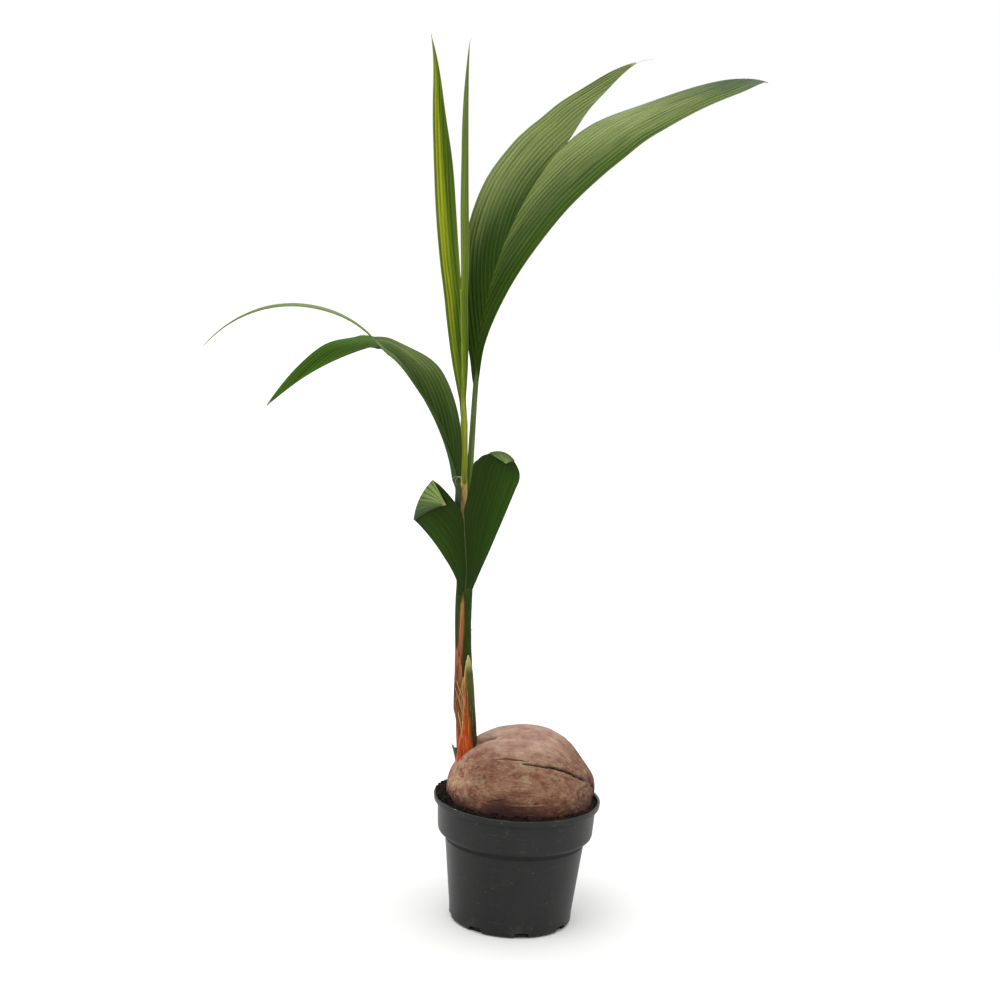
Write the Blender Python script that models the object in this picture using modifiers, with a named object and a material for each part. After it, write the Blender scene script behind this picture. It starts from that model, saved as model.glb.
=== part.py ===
"""A coconut palm seedling in a round nursery pot.

Metres, +Z up. The origin is the centre of the pot's flat underside, and -Y is the front.
Each piece keeps a gap of 0.3 mm to its neighbours.
"""
import math
from collections import namedtuple

import bmesh
import bpy
from mathutils import Vector

PLANT = "coconut_palm_seedling"
GAP = 0.0003
# Curved faces meet their neighbours by their corners, so they keep twice the gap.
CLEAR = 2 * GAP

# Pot, turned about Z: (radius, height) of the outside, from the lip down to the foot.
POT_HEIGHT = 0.144
POT_LIP_RADIUS = 0.095
POT_LIP_EDGE = 0.0012
POT_LIP_DEPTH = 0.0065
POT_BAND_RADIUS = 0.0884
POT_BAND_FOOT = 0.105
POT_SHOULDER_RADIUS = 0.0796
POT_SHOULDER = 0.097
POT_FOOT_RADIUS = 0.0700
POT_FOOT_ROUNDING = 0.007
POT_WALL = 0.0020
POT_FLOOR = 0.0024
POT_SIDES = 56
DRAIN_COUNT = 8
DRAIN_WIDTH = 0.015
DRAIN_HEIGHT = 0.0055
DRAIN_DEPTH = 0.006
DRAIN_FIRST_BEARING = -79.0

# Soil: its level below the lip, and how far it is heaped in the middle.
SOIL_DROP = 0.007
SOIL_HEAP = 0.003

# Nut in its husk, lying on its side along X, with its left end turned to the front. Its
# radius is the height above its centre: its depth and its underside are shares of that, and
# the taper makes its right end the thicker one. It has a pocket round the foot of the stem.
HUSK_CENTRE = Vector((0.0026, 0.0, 0.1402))
HUSK_HALF_LENGTH = 0.0848
HUSK_RADIUS = 0.0833
HUSK_DEPTH = 0.92
HUSK_UNDERSIDE = 0.80
HUSK_TAPER = 0.055
HUSK_RIDGE = 0.030
HUSK_RIDGE_BEARING = 62.0
HUSK_BLUNTNESS = 2.175
HUSK_TURN = 12.0
POCKET_SPARE = 0.0032
POCKET_DEPTH = 0.060

# Stem of leaf sheaths: foot, fork, its bow to the left, and radius every equal step.
STEM_FOOT = Vector((-0.0602, 0.002, 0.1800))
STEM_FORK = Vector((-0.0812, 0.002, 0.5142))
STEM_BOW = 0.0024
STEM_RADII = (0.0106, 0.0103, 0.0098, 0.0088, 0.0083, 0.0082, 0.0078, 0.0058, 0.0048, 0.0046)
STEM_STEPS = 27
STEM_ROUNDNESS = 4

# Rows and columns of faces in a blade along the rib and in a lobe, and its narrowest width.
BLADE_ROWS = 14
LOBE_ROWS = 14
BLADE_COLUMNS = 2
NARROWEST = 0.0025
STALK_ROUNDNESS = 2

# A leg is a run of a rib or of a lobe's inner margin. Rise and heading are in degrees:
# rise from the level, heading from +X towards +Y, each given at equal steps.
Leg = namedtuple("Leg", "length rise heading")
# A half blade lies on one side of the rib. Its lobe leg runs on from the end of the rib.
# Roll lifts it from the level, and width is in metres, both at equal steps.
Half = namedtuple("Half", "name side lobe roll width")
# A stalk hugs the stem at some heights on a bearing, then runs by its own points to the
# foot of the rib. Radii are the rib's at its foot and at its end.
Frond = namedtuple("Frond", "name bearing hugging stalk foot rib radii blade halves")

RIGHT_FROND = Frond(
    name="right_frond",
    bearing=35.0,
    hugging=(0.470, 0.500),
    stalk=(Vector((-0.0735, 0.0130, 0.5680)),),
    foot=Vector((-0.0748, 0.0200, 0.6265)),
    rib=Leg(0.292, (88, 72, 56, 39), (38, 45, 46, 49)),
    radii=(0.0028, 0.0014),
    blade=0.0040,
    halves=(
        Half("far", 1, Leg(0.149, (39, 53, 43, 41, 30), (49, 46, 38, 42, 43)),
             (34, 32, 31, 29, 32, 37), (0.002, 0.028, 0.046, 0.051, 0.045, 0.025, 0.001)),
        Half("near", -1, Leg(0.352, (39, 20, 20, 12, -4), (49, 41, 34, 42, 46)),
             (-3, -13, -17, -16, -12, -11), (0.001, 0.023, 0.052, 0.073, 0.070, 0.052, 0.004)),
    ),
)
LEFT_FROND = Frond(
    name="left_frond",
    bearing=225.0,
    hugging=(0.445, 0.480),
    stalk=(),
    foot=Vector((-0.0892, -0.0160, 0.5127)),
    rib=Leg(0.170, (73, 66, 56, 49, 22), (187, 184, 192)),
    radii=(0.0026, 0.0012),
    blade=0.0026,
    halves=(
        Half("far", -1, Leg(0.138, (-17, -24, -31, -39, -43), (194, 193, 191)),
             (55, 63, 66, 57, 14, 18, 41, 53, 61), (0.003, 0.020, 0.030, 0.037, 0.035, 0.016, 0.001)),
        Half("near", 1, Leg(0.215, (52, 22, -3, -29, -52), (197, 191, 187)),
             (-14, -11, -8, -5, -4, -7), (0.003, 0.013, 0.024, 0.031, 0.027, 0.016, 0.001)),
    ),
)
SPEAR = Frond(
    name="spear",
    bearing=0.0,
    hugging=(),
    stalk=(STEM_FORK + Vector((0.0, 0.0, CLEAR)), Vector((-0.0848, 0.0030, 0.5500))),
    foot=Vector((-0.0888, 0.0050, 0.5888)),
    rib=Leg(0.125, (94, 95, 93), (0, 0)),
    radii=(0.0038, 0.0016),
    blade=0.0030,
    halves=(
        Half("left", 1, Leg(0.271, (93, 98, 98, 101, 103, 110), (0, 0)),
             (60, 61, 60), (0.002, 0.011, 0.018, 0.022, 0.019, 0.010, 0.000)),
        Half("right", 1, Leg(0.261, (93, 92, 93, 91, 90, 90), (0, 0)),
             (-42, -42, -41), (0.003, 0.008, 0.011, 0.010, 0.006, 0.003, 0.000)),
    ),
)
FRONDS = (RIGHT_FROND, LEFT_FROND, SPEAR)

# Lowest leaf, split in two from its clasping foot. Its outline is in its own plane,
# (across, up) from the foot, which clasps the front of the stem.
LEAF_FOOT_X = -0.0711
LEAF_FOOT_Z = 0.3788
LEAF_START = 0.004
LEAF_AXIS = -0.0038
LEAF = 0.0018
LEAF_LEAN = 0.10
LEAF_UNROLL = 1.2
LEAF_TIP_LIFT = 0.0015
LeafHalf = namedtuple("LeafHalf", "name inner outer tip")
LOWER_LEAF = (
    LeafHalf("left",
             ((-0.0014, 0.004), (-0.0048, 0.042), (-0.0086, 0.080), (-0.0200, 0.103), (-0.0426, 0.120)),
             ((-0.0096, 0.004), (-0.0205, 0.031), (-0.0340, 0.051), (-0.0480, 0.064), (-0.0607, 0.0747)),
             (-0.0273, 0.0930)),
    LeafHalf("right",
             ((0.0008, 0.004), (-0.0016, 0.032), (-0.0042, 0.060), (-0.0054, 0.086), (-0.0040, 0.112),
              (0.0010, 0.138), (0.0200, 0.153)),
             ((0.0084, 0.004), (0.0185, 0.030), (0.0282, 0.057), (0.0370, 0.083), (0.0455, 0.108),
              (0.0530, 0.132), (0.0440, 0.149)),
             (0.0411, 0.1400)),
)
LEAF_ROWS = 10
TIP_ROWS = 3
TIP_NARROW = 0.85

# Bracts at the foot of the stem: bearing round it and half angle in degrees, foot and
# length as shares of the stem, and how far the tip stands off.
Bract = namedtuple("Bract", "name bearing spread start length flare")
BRACTS = (
    Bract("right_bract", -38.0, 42.0, 0.045, 0.31, 0.0016),
    Bract("left_bract", 200.0, 26.0, 0.040, 0.050, 0.0040),
)
BRACT = 0.0012
BRACT_ROWS = 10
BRACT_COLUMNS = 4
BRACT_POINT = 0.06


def clear_scene():
    for item in list(bpy.data.objects):
        bpy.data.objects.remove(item, do_unlink=True)


def collection(name):
    group = bpy.data.collections.new(name)
    bpy.context.scene.collection.children.link(group)
    return group


def material(name, colour, roughness):
    made = bpy.data.materials.new(name)
    made.use_nodes = True
    shader = made.node_tree.nodes["Principled BSDF"]
    shader.inputs["Base Color"].default_value = (*colour, 1.0)
    shader.inputs["Roughness"].default_value = roughness
    shader.inputs["Metallic"].default_value = 0.0
    return made


def add(name, data, group, finish):
    made = bpy.data.objects.new(name, data)
    made.data.materials.append(finish)
    group.objects.link(made)
    return made


def add_mesh(name, shape, group, finish):
    """Turn a bmesh into an object."""
    data = bpy.data.meshes.new(name)
    bmesh.ops.recalc_face_normals(shape, faces=shape.faces)
    shape.to_mesh(data)
    shape.free()
    data.shade_smooth()
    return add(name, data, group, finish)


def move_to(item, group):
    for home in list(item.users_collection):
        home.objects.unlink(item)
    group.objects.link(item)


def cut(target, cutter):
    change = target.modifiers.new("cut_" + cutter.name, "BOOLEAN")
    change.operation = "DIFFERENCE"
    change.object = cutter
    cutter.hide_render = True
    cutter.display_type = "WIRE"


def smooth(values, u):
    """A smooth curve through values at equal steps, read at u from 0 to 1."""
    last = len(values) - 1
    place = min(max(u, 0.0), 1.0) * last
    i = min(int(place), last - 1)
    f = place - i
    b, c = values[i], values[i + 1]
    a = values[i - 1] if i > 0 else b * 2 - c
    d = values[i + 2] if i + 2 <= last else c * 2 - b
    return (b * 2 + (c - a) * f + (a * 2 - b * 5 + c * 4 - d) * f ** 2 + (b * 3 - a - c * 3 + d) * f ** 3) / 2


def turned(name, profile, sides, group, finish):
    """Turn a closed (radius, height) section about Z."""
    data = bpy.data.meshes.new(name)
    points = [(radius, 0.0, height) for radius, height in profile]
    data.from_pydata(points, [(i, i + 1) for i in range(len(points) - 1)], [])
    made = add(name, data, group, finish)
    screw = made.modifiers.new("turn", "SCREW")
    screw.axis = "Z"
    screw.steps = screw.render_steps = sides
    screw.use_merge_vertices = True
    screw.merge_threshold = 0.00005
    return made


def tube(name, points, radii, group, finish, resolution):
    """A tapering tube with flat ends through points."""
    data = bpy.data.curves.new(name, "CURVE")
    data.dimensions = "3D"
    data.bevel_depth = 1.0
    data.bevel_resolution = resolution
    data.use_fill_caps = True
    spline = data.splines.new("POLY")
    spline.points.add(len(points) - 1)
    for knot, point, radius in zip(spline.points, points, radii):
        knot.co = (*point, 1.0)
        knot.radius = radius
    return add(name, data, group, finish)


def pot_profile():
    """The pot's section: down the outside, across the foot, and up the inside."""
    foot = POT_FOOT_RADIUS
    rounding = POT_FOOT_ROUNDING
    corner = []
    for step in range(4):
        angle = math.radians(30.0 * step)
        corner.append((foot - rounding + rounding * math.cos(angle), rounding - rounding * math.sin(angle)))
    outside = [
        (POT_LIP_RADIUS - POT_LIP_EDGE, POT_HEIGHT),
        (POT_LIP_RADIUS, POT_HEIGHT - POT_LIP_EDGE),
        (POT_LIP_RADIUS, POT_HEIGHT - POT_LIP_DEPTH + POT_WALL),
        (POT_BAND_RADIUS + POT_WALL, POT_HEIGHT - POT_LIP_DEPTH),
        (POT_BAND_RADIUS, POT_BAND_FOOT),
        (POT_SHOULDER_RADIUS + POT_WALL, POT_SHOULDER + POT_LIP_EDGE),
        (POT_SHOULDER_RADIUS, POT_SHOULDER - POT_LIP_EDGE),
    ] + corner
    return outside + [(0.0, 0.0), (0.0, POT_FLOOR)] + inner_profile(0.0)[::-1] + [outside[0]]


def inner_profile(inset):
    """The pot's inside from the lip down to the floor's edge, moved inwards by inset."""
    wall = POT_WALL + inset
    return [
        (POT_LIP_RADIUS - POT_LIP_EDGE - wall, POT_HEIGHT),
        (POT_LIP_RADIUS - 2 * POT_LIP_EDGE - wall, POT_HEIGHT - POT_LIP_DEPTH),
        (POT_BAND_RADIUS - wall, POT_BAND_FOOT + POT_LIP_EDGE),
        (POT_SHOULDER_RADIUS - wall, POT_SHOULDER),
        (POT_FOOT_RADIUS - wall, POT_FOOT_ROUNDING + inset),
        (POT_FOOT_RADIUS - wall - POT_FOOT_ROUNDING / 2, POT_FLOOR + inset),
    ]


def build_pot(group, cutters, finish):
    pot = turned("pot", pot_profile(), POT_SIDES, group, finish)
    for i in range(DRAIN_COUNT):
        bpy.ops.mesh.primitive_cube_add(size=1.0)
        cutter = bpy.context.object
        cutter.name = f"drain_{i}"
        bearing = math.radians(DRAIN_FIRST_BEARING + 360.0 * i / DRAIN_COUNT)
        reach = POT_FOOT_RADIUS + CLEAR - DRAIN_DEPTH / 2
        cutter.location = (reach * math.cos(bearing), reach * math.sin(bearing), 0.0)
        cutter.rotation_euler = (0.0, 0.0, bearing)
        cutter.scale = (DRAIN_DEPTH, DRAIN_WIDTH, DRAIN_HEIGHT * 2)
        move_to(cutter, cutters)
        cut(pot, cutter)


def husk_surface(direction, grow):
    """A point of the husk: blunt ends and three rounded ridges along its length."""
    turn = math.atan2(direction.z, direction.y)
    girth = math.hypot(direction.y, direction.z)
    power = HUSK_BLUNTNESS
    reach = (abs(direction.x) ** power + girth ** power) ** (-1.0 / power)
    ridge = 1.0 + HUSK_RIDGE * math.cos(3.0 * (turn - math.radians(HUSK_RIDGE_BEARING))) * girth ** 2
    taper = 1.0 + HUSK_TAPER * direction.x * reach
    depth = HUSK_RADIUS * ridge * taper * HUSK_DEPTH + grow
    height = HUSK_RADIUS * ridge * taper * (1.0 if direction.z > 0.0 else HUSK_UNDERSIDE) + grow
    x = direction.x * reach * (HUSK_HALF_LENGTH + grow)
    y = direction.y * reach * depth
    turned = math.radians(HUSK_TURN)
    level = Vector((x * math.cos(turned) - y * math.sin(turned), x * math.sin(turned) + y * math.cos(turned)))
    return HUSK_CENTRE + Vector((*level, direction.z * reach * height))


def husk_shape(grow):
    shape = bmesh.new()
    bmesh.ops.create_uvsphere(shape, u_segments=28, v_segments=18, radius=1.0)
    for vert in shape.verts:
        pole = Vector((vert.co.z, vert.co.x, vert.co.y)).normalized()
        vert.co = husk_surface(pole, grow)
    return shape


def stem_point(u):
    """The stem's axis, from its foot at u=0 to its fork at u=1."""
    point = STEM_FOOT.lerp(STEM_FORK, u)
    point.x -= STEM_BOW * math.sin(math.pi * u)
    return point


def build_ground(group, cutters, finishes):
    """The soil, hollowed for the husk, and the husk, hollowed for the stem."""
    section = inner_profile(GAP)
    level = POT_HEIGHT - SOIL_DROP
    (top_radius, top), (foot_radius, foot) = section[1:3]
    slope = (top_radius - foot_radius) / (top - foot)
    wall_top = (foot_radius + slope * (level - SOIL_HEAP - foot), level - SOIL_HEAP)
    outside = [wall_top] + section[2:]
    floor = POT_FLOOR + GAP
    middle = POT_BAND_RADIUS * 0.5
    profile = outside + [(0.0, floor), (0.0, level + SOIL_HEAP), (middle, level + SOIL_HEAP * 0.6), wall_top]
    soil = turned("soil", profile, POT_SIDES, group, finishes["soil"])
    husk = add_mesh("coconut_husk", husk_shape(0.0), group, finishes["husk"])
    cut(soil, add_mesh("husk_space", husk_shape(CLEAR), cutters, finishes["husk"]))

    along = (STEM_FORK - STEM_FOOT).normalized()
    radius = STEM_RADII[0] + POCKET_SPARE
    bpy.ops.mesh.primitive_cylinder_add(vertices=24, radius=radius, depth=POCKET_DEPTH)
    pocket = bpy.context.object
    pocket.name = "stem_pocket"
    pocket.rotation_mode = "QUATERNION"
    pocket.rotation_quaternion = Vector((0.0, 0.0, 1.0)).rotation_difference(along)
    pocket.location = STEM_FOOT + along * (POCKET_DEPTH / 2 - CLEAR)
    move_to(pocket, cutters)
    cut(husk, pocket)


def build_stem(group, finish):
    heights = [i / STEM_STEPS for i in range(STEM_STEPS + 1)]
    points = [stem_point(u) for u in heights]
    radii = [smooth(STEM_RADII, u) for u in heights]
    tube("trunk", points, radii, group, finish, STEM_ROUNDNESS)


def pointing(rise, heading):
    rise, heading = math.radians(rise), math.radians(heading)
    level = math.cos(rise)
    return Vector((level * math.cos(heading), level * math.sin(heading), math.sin(rise)))


def walk(start, leg, steps):
    """Places along a leg: a list of (point, rise, heading)."""
    point = start.copy()
    places = [(point.copy(), smooth(leg.rise, 0.0), smooth(leg.heading, 0.0))]
    for i in range(steps):
        middle = (i + 0.5) / steps
        end = (i + 1) / steps
        point += pointing(smooth(leg.rise, middle), smooth(leg.heading, middle)) * (leg.length / steps)
        places.append((point.copy(), smooth(leg.rise, end), smooth(leg.heading, end)))
    return places


def across(place, side, roll):
    """The way from the rib to the margin of a half blade."""
    rise, heading = place[1], place[2]
    level = Vector((-math.sin(math.radians(heading)), math.cos(math.radians(heading)), 0.0))
    upper = pointing(rise, heading).cross(level)
    return level * (side * math.cos(math.radians(roll))) + upper * math.sin(math.radians(roll))


def thicken(surface, thickness):
    shell = surface.modifiers.new("thickness", "SOLIDIFY")
    shell.thickness = thickness
    shell.offset = 0.0


def spread(inner, outer):
    """Points from an inner to an outer one, at equal steps."""
    return [inner.lerp(outer, j / BLADE_COLUMNS) for j in range(BLADE_COLUMNS + 1)]


def strip(name, rows, thickness, group, finish):
    """A thin blade through rows of points."""
    last_row = len(rows) - 1
    last_column = len(rows[0]) - 1
    shape = bmesh.new()
    bmesh.ops.create_grid(shape, x_segments=last_column, y_segments=last_row, size=0.5)
    for vert in shape.verts:
        row = rows[round((vert.co.y + 0.5) * last_row)]
        vert.co = row[round((vert.co.x + 0.5) * last_column)]
    thicken(add_mesh(name, shape, group, finish), thickness)


def half_rows(places, half, first, last, offsets):
    """Rows of a half blade between the shares first and last of its whole length."""
    rows = []
    steps = len(places) - 1
    for i, place in enumerate(places):
        u = first + (last - first) * i / steps
        way = across(place, half.side, smooth(half.roll, u))
        inner = place[0] + way * (offsets[0] + (offsets[1] - offsets[0]) * i / steps)
        rows.append(spread(inner, inner + way * max(smooth(half.width, u), NARROWEST)))
    return rows


def hug(height, bearing, radius):
    """A place at a height beside the stem, for a stalk of this radius on this bearing."""
    u = (height - STEM_FOOT.z) / (STEM_FORK.z - STEM_FOOT.z)
    reach = smooth(STEM_RADII, u) + radius + GAP
    turn = math.radians(bearing)
    return stem_point(u) + Vector((math.cos(turn), math.sin(turn), 0.0)) * reach


def build_frond(frond, group, finishes):
    """A stalk that runs on as the rib, a half blade each side of it, and their lobes."""
    thick, thin = frond.radii
    rib = walk(frond.foot, frond.rib, BLADE_ROWS)
    stalk = [hug(height, frond.bearing, thick) for height in frond.hugging] + list(frond.stalk)
    radii = [thick] * len(stalk) + [thick + (thin - thick) * i / BLADE_ROWS for i in range(BLADE_ROWS + 1)]
    points = stalk + [place[0] for place in rib]
    tube(frond.name + "_stalk", points, radii, group, finishes["stalk"], STALK_ROUNDNESS)
    for half in frond.halves:
        name = f"{frond.name}_{half.name}"
        share = frond.rib.length / (frond.rib.length + half.lobe.length)
        rows = half_rows(rib, half, 0.0, share, (thick + CLEAR, thin + CLEAR))
        strip(name + "_blade", rows, frond.blade, group, finishes["blade"])
        turn = math.radians(abs(half.lobe.rise[0] - frond.rib.rise[-1]))
        skip = CLEAR + frond.blade / 2 * math.tan(turn / 2)
        start = rib[-1][0] + pointing(half.lobe.rise[0], half.lobe.heading[0]) * skip
        lobe = walk(start, half.lobe, LOBE_ROWS)
        rows = half_rows(lobe, half, share, 1.0, (thin + CLEAR, thin + CLEAR))
        strip(name + "_lobe", rows, frond.blade, group, finishes["blade"])


def leaf_point(flat, out=0.0):
    """Stand a point of the lower leaf's own plane in front of the stem, wrapped round it."""
    wide, up = flat
    clasp = smooth(STEM_RADII, (LEAF_FOOT_Z - STEM_FOOT.z) / (STEM_FORK.z - STEM_FOOT.z)) + CLEAR + LEAF / 2
    wrap = clasp + LEAF_UNROLL * (up - LEAF_START)
    off_axis = min(abs(wide - LEAF_AXIS), wrap * 0.95)
    front = STEM_FOOT.y - clasp - LEAF_LEAN * (up - LEAF_START)
    back = wrap - math.sqrt(wrap ** 2 - off_axis ** 2)
    return Vector((LEAF_FOOT_X + wide, front + back - out, LEAF_FOOT_Z + up))


def build_lower_leaf(group, finishes):
    """Two halves that part above the foot, each with its tip folded down in front."""
    for half in LOWER_LEAF:
        inner = [Vector(flat) for flat in half.inner]
        outer = [Vector(flat) for flat in half.outer]
        rows = []
        for i in range(LEAF_ROWS + 1):
            u = i / LEAF_ROWS
            rows.append([leaf_point(flat) for flat in spread(smooth(inner, u), smooth(outer, u))])
        strip("lower_leaf_" + half.name, rows, LEAF, group, finishes["lower"])
        middle = (inner[-1] + outer[-1]) / 2
        rows = []
        for i in range(TIP_ROWS + 1):
            u = i / TIP_ROWS
            out = LEAF + CLEAR + LEAF_TIP_LIFT * u
            narrow = TIP_NARROW * u
            ends = [edge.lerp(middle, narrow).lerp(Vector(half.tip), u) for edge in (inner[-1], outer[-1])]
            rows.append([leaf_point(flat, out) for flat in spread(*ends)])
        strip(f"lower_leaf_{half.name}_tip", rows, LEAF, group, finishes["tip"])


def build_bract(bract, group, finish):
    """A pointed scale that wraps part of the stem."""
    shape = bmesh.new()
    bmesh.ops.create_grid(shape, x_segments=BRACT_COLUMNS, y_segments=BRACT_ROWS, size=0.5)
    for vert in shape.verts:
        u = vert.co.y + 0.5
        narrow = max(1.0 - u, BRACT_POINT) ** 0.7
        turn = math.radians(bract.bearing + bract.spread * narrow * 2.0 * vert.co.x)
        height = bract.start + bract.length * u
        reach = smooth(STEM_RADII, height) + BRACT / 2 + CLEAR + bract.flare * u
        vert.co = stem_point(height) + Vector((math.cos(turn), math.sin(turn), 0.0)) * reach
    thicken(add_mesh(bract.name, shape, group, finish), BRACT)


def main():
    clear_scene()
    plant = collection(PLANT)
    cutters = collection("cutters")
    finishes = {
        "pot": material("pot_plastic", (0.035, 0.036, 0.034), 0.45),
        "soil": material("soil", (0.018, 0.013, 0.010), 0.95),
        "husk": material("husk", (0.300, 0.180, 0.125), 0.90),
        "stem": material("sheath", (0.330, 0.130, 0.040), 0.70),
        "bract": material("bract", (0.120, 0.180, 0.020), 0.50),
        "stalk": material("stalk", (0.180, 0.240, 0.020), 0.45),
        "blade": material("blade", (0.035, 0.090, 0.012), 0.40),
        "lower": material("lower_leaf", (0.020, 0.055, 0.012), 0.45),
        "tip": material("leaf_underside", (0.190, 0.290, 0.080), 0.55),
    }
    build_pot(plant, cutters, finishes["pot"])
    build_ground(plant, cutters, finishes)
    build_stem(plant, finishes["stem"])
    for bract in BRACTS:
        build_bract(bract, plant, finishes["bract"])
    build_lower_leaf(plant, finishes)
    for frond in FRONDS:
        build_frond(frond, plant, finishes)


main()
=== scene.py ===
"""Looks of a coconut palm seedling in a round nursery pot, built round its CAD frame.

Metres, +Z up. The origin is the centre of the pot's flat underside, and -Y is the front.
"""
import math
import random
from collections import namedtuple

import bmesh
import bpy
from mathutils import Matrix, Vector, noise


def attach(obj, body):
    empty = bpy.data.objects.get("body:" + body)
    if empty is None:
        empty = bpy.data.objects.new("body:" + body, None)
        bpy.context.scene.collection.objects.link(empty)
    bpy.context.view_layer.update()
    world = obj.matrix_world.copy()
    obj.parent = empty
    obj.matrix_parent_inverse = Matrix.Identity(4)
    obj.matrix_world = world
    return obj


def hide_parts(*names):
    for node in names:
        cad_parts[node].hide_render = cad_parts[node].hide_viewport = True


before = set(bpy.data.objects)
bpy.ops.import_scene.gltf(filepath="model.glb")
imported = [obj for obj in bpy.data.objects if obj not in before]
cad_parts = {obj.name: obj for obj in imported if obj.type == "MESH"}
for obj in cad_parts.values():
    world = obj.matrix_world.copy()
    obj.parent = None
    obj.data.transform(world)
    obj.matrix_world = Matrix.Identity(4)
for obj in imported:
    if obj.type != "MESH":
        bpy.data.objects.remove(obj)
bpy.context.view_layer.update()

BODY = "root"
# The thickness of the leaves and of the layers round the stem.
SHEET_THICKNESS = 0.0006
# A millimetre, in which some tables are given.
MM = 0.001

# Camera, at the photograph's angle.
CAMERA_PLACE = Vector((-0.0393, -1.99, 0.775))
CAMERA_PITCH = 8.35
CAMERA_ROLL = 3.4
CAMERA_LENS = 65.0
CAMERA_SENSOR = 36.0

UP = Vector((0.0, 0.0, 1.0))


# ---------------------------------------------------------------- shapes by rule

def smooth(values, u):
    """A smooth curve through values at equal steps, read at u from 0 to 1."""
    last = len(values) - 1
    place = min(max(u, 0.0), 1.0) * last
    i = min(int(place), last - 1)
    f = place - i
    b, c = values[i], values[i + 1]
    a = values[i - 1] if i > 0 else b * 2 - c
    d = values[i + 2] if i + 2 <= last else c * 2 - b
    bend = (a * 2 - b * 5 + c * 4 - d) * f ** 2 + (b * 3 - a - c * 3 + d) * f ** 3
    return (b * 2 + (c - a) * f + bend) / 2


def blend(low, high, value):
    """0 below low, 1 above high, and a smooth step between them."""
    u = min(max((value - low) / (high - low), 0.0), 1.0)
    return u * u * (3.0 - 2.0 * u)


def grid(values, v, u):
    """A smooth reading, as a share from 0 to 1, of rows of percentages along v, each across u."""
    return min(max(smooth([smooth(row, u) for row in values], v) / 100.0, 0.0), 1.0)


def round_about(bearing):
    """The level direction on a bearing in degrees, from +X towards +Y."""
    turn = math.radians(bearing)
    return Vector((math.cos(turn), math.sin(turn), 0.0))


def pointing(rise, heading):
    return round_about(heading) * math.cos(math.radians(rise)) + UP * math.sin(math.radians(rise))


def rough(point, size, octaves=4):
    """Fractal noise from about -1 to 1, with lumps of the given size."""
    return noise.fractal(point / size, 1.0, 2.0, octaves)


def shares(steps):
    """Equal steps from 0 to 1."""
    return [i / steps for i in range(steps + 1)]


def spread(vs, columns, rule):
    """Rows of rule(v, u), one for each v, with u from 0 to 1 in equal steps."""
    return [[rule(v, u) for u in shares(columns)] for v in vs]


def unzip(rows):
    """The grids of each part, from rows of tuples."""
    return [[[cell[k] for cell in row] for row in rows] for k in range(len(rows[0][0]))]


def ring(sides):
    """Equal turns round a circle, in radians."""
    return [math.tau * j / sides for j in range(sides)]


def ahead_at(points, i):
    """The way that a line of points runs at its point i."""
    return (points[min(i + 1, len(points) - 1)] - points[max(i - 1, 0)]).normalized()


class Skin:
    """Gathers patches of faces, with their UV maps and marks, into one mesh."""

    def __init__(self):
        self.points = []
        self.faces = []
        self.kinds = []
        self.maps = {}
        self.marks = {}

    def patch(self, rows, wrap=False, flip=False, caps=False, kind=0, marks=(), **maps):
        """Rows of points. A map has one (x, y) for each point, and one more in each row if it wraps:
        where none is given, "skin" goes from 0 to 1 across and along. Marks are values for each point."""
        base, width, last = len(self.points), len(rows[0]), len(rows) - 1
        maps = maps or {"skin": spread(shares(last), width if wrap else width - 1, lambda v, u: (u, v))}
        for row in rows:
            self.points.extend(row)
        for name, values in dict(marks).items():
            self.marks.setdefault(name, []).extend(value for row in values for value in row)

        def face(corners):
            if flip:
                corners.reverse()
            self.faces.append([base + i * width + j % width for i, j in corners])
            self.kinds.append(kind)
            for name, values in maps.items():
                self.maps.setdefault(name, []).extend(values[i][j] for i, j in corners)

        for i in range(last):
            for j in range(width if wrap else width - 1):
                face([(i, j), (i, j + 1), (i + 1, j + 1), (i + 1, j)])
        if caps:
            face([(0, j) for j in reversed(range(width))])
            face([(last, j) for j in range(width)])
        return self

    def mesh(self, name, finishes):
        """The gathered mesh as an object."""
        data = bpy.data.meshes.new(name)
        data.from_pydata(self.points, [], self.faces)
        for label, values in self.maps.items():
            layer = data.uv_layers.new(name=label)
            layer.data.foreach_set("uv", [number for pair in values for number in pair])
        for label, values in self.marks.items():
            data.attributes.new(label, "FLOAT", "POINT").data.foreach_set("value", values)
        data.polygons.foreach_set("material_index", self.kinds)
        for finish in finishes:
            data.materials.append(finish)
        data.shade_smooth()
        data.update()
        made = bpy.data.objects.new(name, data)
        bpy.context.scene.collection.objects.link(made)
        return made

    def piece(self, name, finishes, nodes, slot, thickness=0.0):
        """The mesh as a piece that rides on the plant. A sheet gets its thickness, and with it its
        second material behind."""
        made = self.mesh(name, finishes)
        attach(made, BODY)
        if nodes:
            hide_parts(*nodes)
        if thickness:
            shell = made.modifiers.new("thickness", "SOLIDIFY")
            shell.thickness = thickness
            shell.offset = 0.0
            shell.material_offset = 1
            shell.material_offset_rim = 0
        return made


def strand(skin, points, radius, tip, sides=5):
    """A thin fibre that tapers to a share of its radius at its tip."""
    rows = []
    for i, (point, share) in enumerate(zip(points, shares(len(points) - 1))):
        ahead = ahead_at(points, i)
        side = ahead.orthogonal().normalized()
        other = ahead.cross(side)
        size = radius * (1.0 + (tip - 1.0) * share)
        rows.append([point + (side * math.cos(t) + other * math.sin(t)) * size for t in ring(sides)])
    skin.patch(rows, wrap=True, caps=True)


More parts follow.
